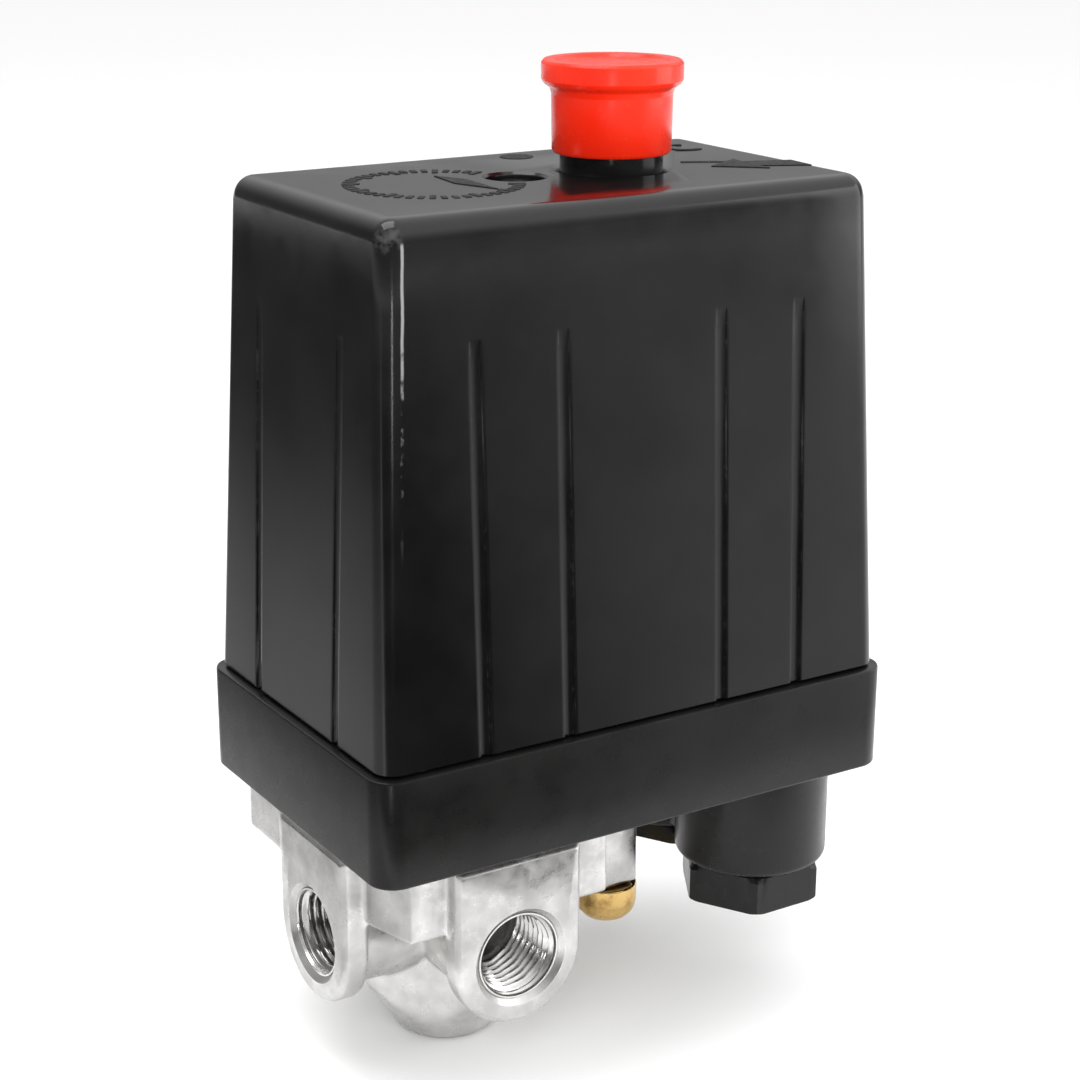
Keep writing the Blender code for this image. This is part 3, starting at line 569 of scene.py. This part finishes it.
def groove_depth(z):
    """Deep at the foot, shallower upwards, with a rounded end."""
    share = (GROOVE_TOP - z) / (GROOVE_TOP - COVER_LOW.z)
    end = min(1.0, max(0.0, (GROOVE_TOP - z) / GROOVE_END))
    return GROOVE_DEPTH * (0.35 + 0.65 * share) * math.sqrt(end)


def make_cover():
    top = COVER_HIGH.z
    rings = [cover_ring(COVER_LOW.z, inset=0.25, depth=groove_depth(COVER_LOW.z))]
    heights = [COVER_LOW.z + 0.25, 70.0, 85.0, 100.0]
    heights += [GROOVE_TOP - GROOVE_END + 0.4 * k for k in range(9)]
    heights += [GROOVE_TOP + 0.2, GROOVE_TOP + 0.6, 120.0, top - COVER_EDGE]
    rings += [cover_ring(z, depth=groove_depth(z)) for z in heights]
    steps = 8
    half_x, half_y = cover_half(top - COVER_EDGE)
    for k in range(1, steps + 1):
        angle = math.pi / 2 * k / steps
        inset = COVER_EDGE * (1 - math.cos(angle))
        z = top - COVER_EDGE + COVER_EDGE * math.sin(angle)
        rings.append(perimeter(half_x - inset * 0.94 - 0.06, half_y - inset * 0.94 - 0.06,
                               max(COVER_EDGE - inset * 0.92, 0.4), CASE_X, z,
                               marks_x=GROOVES_WIDE, marks_y=GROOVES_NARROW))
    ceiling = top - 2.2
    rings.reverse()
    inner = [cover_ring(COVER_LOW.z, inset=COVER_WALL, radius=1.6),
             cover_ring(ceiling, inset=COVER_WALL, radius=1.6)]
    cover = new_object("cover_shell", skin(rings + inner))
    boss = rod_tool(6.2, (*SCREW_AT, 125.2), (*SCREW_AT, top - 1.0))
    boolean(cover, boss, "UNION")
    knob_hole = lathe("knob_hole", [(0, top + 3), (9.3, top + 3), (9.3, top + 0.01), (8.4, top - 0.5, 0.4),
                                    (8.1, top - 1.0), (8.1, top - 8), (0, top - 8)], KNOB_AT)
    boolean(cover, knob_hole)
    recess = lathe("screw_recess", [(0, top + 3), (4.9, top + 3), (4.9, top + 0.01), (4.45, top - 0.4, 0.3),
                                    (4.4, top - 1.0), (4.4, top - 4.0), (2.1, top - 4.0), (2.1, 123.0),
                                    (0, 123.0)], SCREW_AT)
    boolean(cover, recess)
    cover.data.shade_smooth()
    cover.data.set_sharp_from_angle(angle=math.radians(32))
    finish_piece(cover, MATERIALS["case_black"], stands_for=["cover"])


def make_marks():
    """Plain matte marks on the top: a ring of ticks with a needle, an arrow, an arc and a dot."""
    low = COVER_HIGH.z - 0.3
    high = COVER_HIGH.z + 0.12

    def tick(length, width, reach, angle, centre):
        bm = box_mesh((reach, -width / 2, low), (reach + length, width / 2, high), corner=0.08, segments=1)
        bmesh.ops.rotate(bm, cent=(0, 0, 0), matrix=Matrix.Rotation(angle, 3, "Z"), verts=bm.verts)
        bmesh.ops.translate(bm, vec=(centre[0] * MM, centre[1] * MM, 0), verts=bm.verts)
        return bm

    dial = (-0.5, 0.0)
    dial_radius = 13.1
    recess_clear = 6.4         # ticks nearer than this to the screw are left out
    count = 48
    bm = bmesh.new()
    for k in range(count):
        angle = math.tau * k / count
        end = Vector(dial) + Vector((math.cos(angle), math.sin(angle))) * 12.0
        if (end - Vector(SCREW_AT)).length > recess_clear:
            long = 2.6 if k % 4 == 0 else 1.8
            merge_in(bm, tick(long, 0.95, dial_radius - long, angle, dial))
    finish_piece(new_object("dial_ticks", bm), MARKING)
    kite = ((3.0, 6.2), (5.4, 0.8), (4.9, -8.8), (2.2, -1.2))
    needle = skin([[(x, y, z) for x, y in kite] for z in (low, high)])
    finish_piece(new_object("dial_needle", needle), MARKING)
    dot = lathe("top_dot", [(0.0, high), (2.6, high, 0.1), (2.6, low), (0.0, low)], (23.5, 16.9), steps=48)
    finish_piece(dot, MARKING)
    steps = 24
    arc_x, arc_y = 51.6, 12.5
    arc = []
    for k in range(steps + 1):
        angle = math.radians(60 + 240 * k / steps)
        arc.append([(arc_x + radius * math.cos(angle), arc_y + radius * math.sin(angle), z)
                    for radius, z in ((3.3, low), (3.3, high), (2.4, high), (2.4, low))])
    finish_piece(new_object("top_arc", skin(arc)), MARKING)
    outline = ((43.4, -6.4), (50.6, -2.2), (50.2, -4.9), (57.6, -7.4), (57.2, -13.0), (50.0, -9.6),
               (50.0, -12.2))
    arrow = skin([[(x, y, z) for x, y in outline] for z in (low, high)])
    merge_in(arrow, tick(7.4, 0.7, 0.0, math.radians(-28), (42.0, -0.4)))
    finish_piece(new_object("top_arrow", arrow), MARKING)


def make_tray():
    steps = 5
    edge = 0.5
    rings = []
    for k in range(steps + 1):
        angle = math.pi / 2 * k / steps
        inset = edge * (1 - math.sin(angle))
        rings.append(perimeter(TRAY_HALF[0] - inset, TRAY_HALF[1] - inset, TRAY_CORNER - inset * 0.6, CASE_X,
                               TRAY_UNDER + edge * (1 - math.cos(angle))))
    lip = 0.4
    rings.append(perimeter(*TRAY_HALF, TRAY_CORNER, CASE_X, TRAY_RIM - lip))
    rings.append(perimeter(TRAY_HALF[0] - 0.12, TRAY_HALF[1] - 0.12, TRAY_CORNER - 0.1, CASE_X,
                           TRAY_RIM - 0.12))
    rings.append(perimeter(TRAY_HALF[0] - lip, TRAY_HALF[1] - lip, TRAY_CORNER - lip, CASE_X, TRAY_RIM))
    rings.append(perimeter(TRAY_HALF[0] - TRAY_WALL, TRAY_HALF[1] - TRAY_WALL, 1.2, CASE_X, TRAY_RIM))
    rings.append(perimeter(TRAY_HALF[0] - TRAY_WALL, TRAY_HALF[1] - TRAY_WALL, 1.2, CASE_X,
                           TRAY_UNDER + TRAY_WALL))
    tray = new_object("tray_shell", skin(rings))
    below = TRAY_UNDER - 2
    above = TRAY_UNDER + 6
    holes = ((17.0, (0, 0)), (4.4, UNLOADER_AT), (GLAND_HOLE, (GLAND_X, -GLAND_Y)),
             (GLAND_HOLE, (GLAND_X, GLAND_Y)))
    for radius, (x, y) in holes:
        boolean(tray, rod_tool(radius, (x, y, below), (x, y, above)))
    tray.data.shade_smooth()
    tray.data.set_sharp_from_angle(angle=math.radians(32))
    finish_piece(tray, MATERIALS["nylon_black"], stands_for=["base_tray"])
    low = TRAY_LOW.z
    for side, y in (("front", -GLAND_Y), ("back", GLAND_Y)):
        boss = lathe(f"gland_boss_{side}", [
            (12.3, TRAY_UNDER + 0.5), (12.3, low, 1.4), (GLAND_HOLE, low, 0.3),
            (GLAND_HOLE, TRAY_UNDER + 0.5)],
            (GLAND_X, y), loop=True)
        finish_piece(boss, MATERIALS["nylon_black"])
    web = new_object("gland_web", box_mesh(
        (GLAND_X - 7.5, -4.2, low + 1.0), (GLAND_X + 7.5, 4.2, TRAY_UNDER + 0.4), corner=0.5))
    finish_piece(web, MATERIALS["nylon_black"])


def hex_radius(angle, circumradius):
    """Distance from the axis to a hexagon's side, with a corner at angle 0."""
    sector = (angle + math.pi / 6) % (math.pi / 3) - math.pi / 6
    return circumradius * math.cos(math.pi / 6) / math.cos(math.pi / 6 - abs(sector))


def make_gland(side, y):
    flat_top = 20.5
    lowest, highest = NUT_BOX[side]
    radius = (highest.x - lowest.x) / 2
    low = lowest.z
    steps = 120
    cone = ((low, radius - 0.5), (low + 0.15, radius - 0.22), (low + 0.5, radius), (flat_top - 0.7, radius),
            (flat_top, radius - 0.9))
    rings = []
    for z, limit in cone:
        ring = []
        for k in range(steps):
            angle = math.tau * k / steps
            reach = min(hex_radius(angle, radius), limit)
            ring.append((GLAND_X + reach * math.cos(angle), y + reach * math.sin(angle), z))
        rings.append(ring)

    def circle(r, z):
        return [(GLAND_X + r * math.cos(math.tau * k / steps), y + r * math.sin(math.tau * k / steps), z)
                for k in range(steps)]

    rings += [circle(9.1, flat_top), circle(9.1, 32.7), circle(6.2, 32.7), circle(6.2, low + 0.8),
              circle(6.9, low)]
    nut = new_object(f"gland_hex_{side}", skin(rings, loop=True), 20)
    finish_piece(nut, MATERIALS["nylon_black"], stands_for=[f"gland_nut_{side}"])
    seal = lathe(f"gland_ring_{side}", [
        (9.1, 41.0, 0.6), (9.1, 33.0, 0.8), (5.5, 33.0, 1.2), (5.5, 41.0, 1.2)], (GLAND_X, y), loop=True)
    finish_piece(seal, MATERIALS["rubber"], stands_for=[f"gland_seal_{side}"])


# ---------------------------------------------------------------- air side

def lug_mesh(direction):
    """A lug plate with a round underside, an eased rim and a chamfered head, and the neck behind it."""
    back = PORT_FACE - LUG_THICK
    face = PORT_FACE + 0.1
    steps = 32
    rings = []
    for out, radius in ((back, LUG_RADIUS - 0.5), (back + 0.5, LUG_RADIUS), (face - 0.9, LUG_RADIUS),
                        (face, LUG_RADIUS - 0.9)):
        ring = [(-radius * math.cos(math.pi * k / steps), PORT_Z - radius * math.sin(math.pi * k / steps))
                for k in range(steps + 1)]
        high = LUG_CHAMFER_Z + face - out
        ring += [(radius, high), (-radius, high)]
        if direction[0]:
            rings.append([(direction[0] * out, u, z) for u, z in ring])
        else:
            rings.append([(u, direction[1] * out, z) for u, z in ring])
    bm = skin(rings)
    bmesh.ops.recalc_face_normals(bm, faces=bm.faces)
    merge_in(bm, rod_mesh(NECK_RADIUS, (0, 0, PORT_Z), Vector((*direction, 0)) * (back + 1) + Z_UP * PORT_Z))
    return bm


def hub_mesh():
    """The foot's steep cone, flattened on its four diagonals."""
    steps = 96
    profile = [(HUB_FOOT - 0.3, -0.4), (HUB_FOOT, 0.3)]
    profile += [(HUB_FOOT + z / 1.5, z) for z in (1, 2, 3, 4, 5, 6, 7, 8, 9)] + [(HUB_FOOT + 6.2, 30.0)]
    rings = []
    for radius, z in profile:
        ring = []
        for k in range(steps):
            angle = math.tau * k / steps
            off_diagonal = (angle % (math.pi / 2)) - math.pi / 4
            reach = min(radius, HUB_FLAT / math.cos(off_diagonal))
            ring.append((reach * math.cos(angle), reach * math.sin(angle), z))
        rings.append(ring)
    bm = skin(rings)
    bmesh.ops.recalc_face_normals(bm, faces=bm.faces)
    return bm


def thread_ring(name, start, direction, length):
    """The inside thread of a port: a helical surface with a thin wall behind it."""
    major = 6.58
    minor = 5.75
    pitch = 1.337
    steps = 72
    direction = Vector(direction)
    side = direction.orthogonal().normalized()
    up = direction.cross(side)
    start = Vector(start)
    per_pitch = 10
    rows = int(length / pitch * per_pitch)
    rings = []
    for row in range(rows + 1):
        depth = length * row / rows
        lead = min(1.0, depth / (pitch * 1.2), (length - depth) / (pitch * 0.6) + 0.15)
        ring = []
        for k in range(steps):
            angle = math.tau * k / steps
            phase = (depth / pitch - k / steps) % 1.0
            tooth = 1 - abs(2 * phase - 1)
            tooth = min(1.0, max(0.0, (tooth - 0.12) / 0.76))
            radius = major - (major - minor) * tooth * lead
            ring.append(start - direction * depth + (side * math.cos(angle) + up * math.sin(angle)) * radius)
        rings.append(ring)
    outer = major + 0.25
    for depth in (length, 0.0):
        rings.append([start - direction * depth
                      + (side * math.cos(math.tau * k / steps) + up * math.sin(math.tau * k / steps)) * outer
                      for k in range(steps)])
    piece = new_object(name, skin(rings, loop=True), 50)
    finish_piece(piece, MACHINED)


def make_manifold():
    above = MANIFOLD_TOP + 0.5      # trimmed off once the forms are fused
    x, y = BLOCK_HALF
    flare = PORT_FACE - LUG_THICK + 0.6
    outline = ((-x, -y), (x, -y), (x, y), (-x, y), (-flare, LUG_RADIUS + 0.6), (-flare, -LUG_RADIUS - 0.6))
    bm = skin([[(u, v, z) for u, v in outline] for z in (BLOCK_LOW, above)])
    bmesh.ops.recalc_face_normals(bm, faces=bm.faces)
    x, y = LIP_HALF
    merge_in(bm, box_mesh((-x, -y, LIP_LOW), (x, y, above), corner=3.0, segments=6, edges="upright"))
    merge_in(bm, box_mesh(EAR_LOW, (*EAR_HIGH, above), corner=1.0, segments=3, edges="upright"))
    for direction in ((-1, 0), (0, -1), (0, 1)):
        merge_in(bm, lug_mesh(direction))
    merge_in(bm, hub_mesh())
    body = new_object("manifold_casting", bm)
    remesh = body.modifiers.new("fuse", "REMESH")
    remesh.mode = "VOXEL"
    remesh.voxel_size = 0.36 * MM
    smooth = body.modifiers.new("soften", "SMOOTH")
    smooth.factor = 0.5
    smooth.iterations = 5
    apply_modifiers(body)
    boolean(body, new_object("tool", box_mesh((-40, -40, MANIFOLD_TOP), (40, 40, MANIFOLD_TOP + 10))))
    boolean(body, new_object("tool", box_mesh((-40, -40, -10), (40, 40, 0))))
    centre = Vector((0, 0, PORT_Z))
    for direction in (Vector((-1, 0, 0)), Vector((0, -1, 0)), Vector((0, 1, 0))):
        mouth = centre + direction * PORT_FACE
        side = Vector((abs(direction.y), abs(direction.x), 0)) * 12
        skim = [mouth - side - Z_UP * 12, mouth + side + direction * 5 + Z_UP * 18]
        boolean(body, new_object("tool", box_mesh([min(pair) for pair in zip(*skim)],
                                                  [max(pair) for pair in zip(*skim)])))
        boolean(body, rod_tool(PORT_RADIUS, mouth - direction * 12, mouth + direction * 2))
        boolean(body, rod_tool(6.2, mouth - direction * 1.6, mouth + direction * 1.2, end_radius=9.0))
        boolean(body, rod_tool(5.4, centre, mouth - direction * 8))
    boolean(body, rod_tool(PORT_RADIUS, (0, 0, -2), (0, 0, 12.5)))
    boolean(body, rod_tool(7.6, (0, 0, -1.0), (0, 0, 1.4), end_radius=6.1))
    boolean(body, rod_tool(5.3, (0, 0, 8), (0, 0, PORT_Z + 6)))
    body.data.shade_smooth()
    body.data.set_sharp_from_angle(angle=math.radians(40))
    finish_piece(body, MATERIALS["die_cast"], stands_for=["manifold"])
    for side, direction in (("left", (-1, 0, 0)), ("front", (0, -1, 0)), ("back", (0, 1, 0))):
        mouth = centre + Vector(direction) * (PORT_FACE - 0.7)
        thread_ring(f"thread_{side}", mouth, direction, 11.2)
    thread_ring("thread_tank", (0, 0, 0.7), (0, 0, -1), 11.6)


def make_unloader():
    inset = 0.4
    bm = box_mesh((UNLOADER_LOW.x + inset, UNLOADER_LOW.y, UNLOADER_LOW.z),
                  (UNLOADER_HIGH.x - inset, UNLOADER_HIGH.y, TRAY_UNDER - 0.3), corner=0.9)
    body = new_object("unloader_block", bm)
    boolean(body, rod_tool(4.0, (*UNLOADER_AT, TRAY_UNDER - 2), (*UNLOADER_AT, UNLOADER_HIGH.z)), "UNION")
    boolean(body, rod_tool(1.5, (*UNLOADER_AT, UNLOADER_LOW.z + 4), (*UNLOADER_AT, UNLOADER_HIGH.z + 2)))
    boolean(body, rod_tool(3.0, (*UNLOADER_AT, UNLOADER_LOW.z - 2), (*UNLOADER_AT, 30.0)))
    body.data.shade_smooth()
    body.data.set_sharp_from_angle(angle=math.radians(32))
    finish_piece(body, MATERIALS["die_cast"], stands_for=["unloader_body"])
    z = FITTING_LOW.z
    fitting = lathe("unloader_nozzle", [
        (2.7, FITTING_HIGH.z), (2.7, z + 6.2), (5.0, z + 6.2, 0.4), (5.0, z + 3.2, 0.6), (4.7, z + 1.6, 1.2),
        (3.7, z + 0.4, 1.2), (2.4, z, 0.3), (1.5, z), (1.5, FITTING_HIGH.z)], UNLOADER_AT, loop=True)
    finish_piece(fitting, MATERIALS["brass"], stands_for=["unloader_fitting"])


# ---------------------------------------------------------------- knob and screw

def make_knob():
    low = KNOB_LOW.z
    top = KNOB_HIGH.z
    cap = lathe("knob_button", [
        (0.0, top - 0.75), (7.9, top - 0.65, 0.8), (8.6, top, 0.3), (10.1, top, 0.35), (10.5, top - 0.5, 0.3),
        (10.5, top - 2.9, 0.35), (10.1, top - 3.5, 0.4), (9.25, top - 4.1, 0.6), (9.0, top - 5.0, 0.8),
        (8.9, low + 0.5), (8.6, low, 0.3), (8.0, low), (8.0, 137.5), (4.3, 137.5), (4.3, 144.4),
        (0.0, 144.4)],
        KNOB_AT, steps=144)
    finish_piece(cap, MATERIALS["red_plastic"], body="knob", stands_for=["knob_cap"])
    stem = lathe("knob_sleeve", [
        (0.0, 144.0), (4.0, 144.0), (4.0, 137.2), (7.7, 137.2), (7.7, 122.0), (9.5, 122.0), (9.5, 120.0),
        (4.0, 120.0), (4.0, 91.0), (5.0, 91.0, 0.3), (5.0, 89.2), (3.0, 89.2), (3.0, 81.8), (5.0, 81.8),
        (5.0, 79.0, 0.3), (0.0, 79.0)], KNOB_AT, steps=96)
    finish_piece(stem, MATERIALS["case_black"], body="knob", stands_for=["knob_stem"])


def make_cover_screw():
    top = SCREW_HIGH.z
    screw = lathe("cover_screw_head", [
        (0.0, top), (1.8, top - 0.1, 0.6), (3.3, top - 1.1, 0.5), (3.3, top - 2.4, 0.2), (1.8, top - 2.4),
        (1.8, SCREW_LOW.z + 1), (0.9, SCREW_LOW.z), (0.0, SCREW_LOW.z)], SCREW_AT, steps=64)
    x, y = SCREW_AT
    for half_x, half_y in ((2.2, 0.42), (0.42, 2.2)):
        boolean(screw, new_object("tool", box_mesh((x - half_x, y - half_y, top - 1.1),
                                                   (x + half_x, y + half_y, top + 1))))
    finish_piece(screw, MATERIALS["zinc_steel"], stands_for=["cover_screw"])


def make_range_spring():
    """The range spring's wire, coiled to fill the CAD spring's box."""
    low, high = cad_box("range_spring")
    wire = 1.0
    radius = (high.x - low.x) / 2 - wire
    turns = 6
    steps = 28 * turns
    sides = 14
    rise = (high.z - low.z - 2 * wire) / steps
    slope = rise * steps / (math.tau * turns * radius)
    rings = []
    for i in range(steps + 1):
        angle = math.tau * turns * i / steps
        outward = Vector((math.cos(angle), math.sin(angle), 0.0))
        along = Vector((-math.sin(angle), math.cos(angle), slope)).normalized()
        across = along.cross(outward)
        middle = outward * radius + Z_UP * (low.z + wire + rise * i)
        ring = []
        for k in range(sides):
            turn = math.tau * k / sides
            ring.append(middle + (outward * math.cos(turn) + across * math.sin(turn)) * wire)
        rings.append(ring)
    spring = new_object("range_spring_wire", skin(rings), 50)
    finish_piece(spring, MATERIALS["spring_steel"], stands_for=["range_spring"])
    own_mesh(spring)


make_cover()
make_marks()
make_tray()
make_gland("front", -GLAND_Y)
make_gland("back", GLAND_Y)
make_manifold()
make_unloader()
make_knob()
make_cover_screw()
make_range_spring()


# ---------------------------------------------------------------- camera, floor and light

def make_camera():
    """The view is a little above the case, from the front left."""
    yaw = math.radians(31.94)
    pitch = math.radians(-17.76)
    roll = math.radians(0.21)
    look = Vector((math.sin(yaw) * math.cos(pitch), math.cos(yaw) * math.cos(pitch), math.sin(pitch)))
    right = Vector((math.cos(yaw), -math.sin(yaw), 0.0))
    up = right.cross(look)
    turned_right = right * math.cos(roll) + up * math.sin(roll)
    turned_up = turned_right.cross(look)
    data = bpy.data.cameras.new("camera")
    data.lens = 75.13
    data.sensor_width = 36.0
    data.clip_start = 0.01
    camera = bpy.data.objects.new("camera", data)
    turn = Matrix((turned_right, turned_up, -look)).transposed().to_4x4()
    camera.matrix_world = Matrix.Translation(Vector((-156.9, -279.7, 182.0)) * MM) @ turn
    bpy.context.scene.collection.objects.link(camera)
    bpy.context.scene.camera = camera


def make_floor():
    bm = bmesh.new()
    bmesh.ops.create_grid(bm, x_segments=1, y_segments=1, size=6.0)
    bmesh.ops.translate(bm, vec=(0, 0, -0.0006), verts=bm.verts)
    floor = new_object("floor", bm)
    n = Nodes("floor_white", (0.98, 0.98, 0.98), 0.8)
    n.link(n.range(n.noise(4.0, 2.0), 0.2, 0.8, 0.75, 0.85), n.shader.inputs["Roughness"])
    floor.data.materials.append(n.material)


def area_light(name, at, target, size, power, glossy=True):
    """A soft box of that size in metres, aimed at target."""
    data = bpy.data.lights.new(name, "AREA")
    data.shape = "RECTANGLE"
    data.size, data.size_y = size
    data.energy = power
    light = bpy.data.objects.new(name, data)
    at = Vector(at)
    light.location = at
    light.rotation_euler = (Vector(target) - at).to_track_quat("-Z", "Y").to_euler()
    light.visible_camera = False
    light.visible_glossy = glossy
    bpy.context.scene.collection.objects.link(light)


def card(name, low, high, cover_alpha):
    """A black card over that stretch of floor, seen only in gloss, with its alpha from a function."""
    bm = bmesh.new()
    bmesh.ops.create_grid(bm, x_segments=1, y_segments=1, size=0.5)
    bmesh.ops.scale(bm, vec=(high[0] - low[0], high[1] - low[1], 1.0), verts=bm.verts)
    bmesh.ops.translate(bm, vec=((low[0] + high[0]) / 2, (low[1] + high[1]) / 2, 0.002), verts=bm.verts)
    obj = new_object(name, bm)
    n = Nodes(name + "_black", (0.0, 0.0, 0.0), 1.0)
    n.set("Specular IOR Level", 0.0)
    n.link(cover_alpha(n), n.shader.inputs["Alpha"])
    obj.data.materials.append(n.material)
    obj.visible_camera = False
    obj.visible_diffuse = False
    obj.visible_shadow = False


def front_alpha(n):
    """Black to the left of the front, clearing towards the right and beside the case."""
    x, y = n.separate()[:2]
    away = n.math("MULTIPLY", y, -1.0)
    slant = n.range(n.math("DIVIDE", x, away), 0.42, 0.80, 1.0, 0.45, smooth=False)
    slant = n.math("MULTIPLY", slant, n.range(away, 0.4, 1.0, 1.0, 0.75))
    return n.math("MULTIPLY", slant, n.range(away, 0.075, 0.125))


def left_alpha(n):
    """Half clear beside the case, and black further back."""
    x, y = n.separate()[:2]
    return n.range(n.math("SUBTRACT", y, x), 0.10, 0.60, 0.45, 0.93, smooth=False)


def make_world():
    """A bright dome that dims towards the horizon and to the left."""
    world = bpy.data.worlds.new("studio")
    world.use_nodes = True
    tree = world.node_tree
    background = tree.nodes["Background"]
    background.inputs["Color"].default_value = (1.0, 1.0, 1.0, 1.0)
    direction = tree.nodes.new("ShaderNodeTexCoord")
    split = tree.nodes.new("ShaderNodeSeparateXYZ")
    tree.links.new(direction.outputs["Generated"], split.inputs[0])
    rise = tree.nodes.new("ShaderNodeMapRange")
    rise.interpolation_type = "SMOOTHSTEP"
    for socket, value in (("From Min", 0.14), ("From Max", 0.6), ("To Min", 0.38), ("To Max", 1.45)):
        rise.inputs[socket].default_value = value
    tree.links.new(split.outputs["Z"], rise.inputs["Value"])
    across = tree.nodes.new("ShaderNodeMapRange")
    for socket, value in (("From Min", -0.5), ("From Max", 0.2), ("To Min", 0.35), ("To Max", 1.0)):
        across.inputs[socket].default_value = value
    tree.links.new(split.outputs["X"], across.inputs["Value"])
    product = tree.nodes.new("ShaderNodeMath")
    product.operation = "MULTIPLY"
    tree.links.new(rise.outputs["Result"], product.inputs[0])
    tree.links.new(across.outputs["Result"], product.inputs[1])
    tree.links.new(product.outputs[0], background.inputs["Strength"])
    bpy.context.scene.world = world


def make_light():
    """A bright dome, soft boxes and black cards. The plain view transform keeps black beside white."""
    bpy.context.scene.view_settings.view_transform = "Standard"
    make_world()
    area_light("overhead", (-0.2, 0.10, 0.9), (0.0, 0.0, 0.0), (0.6, 0.6), 4.0)
    area_light("right_front", (0.62, -0.36, 0.25), (0.02, 0.0, 0.09), (0.45, 0.5), 1.4)
    area_light("fill", (-0.5, -0.7, 0.5), (0.0, 0.0, 0.08), (0.6, 0.6), 5.5, glossy=False)
    area_light("glint", (-0.41, -0.665, 0.035), (0.02, 0.0, 0.13), (0.05, 0.10), 0.2)
    card("front_card", (-1.2, -1.6), (1.2, -0.07), front_alpha)
    card("left_card", (-1.2, -0.069), (-0.04, 1.4), left_alpha)


make_camera()
make_floor()
make_light()
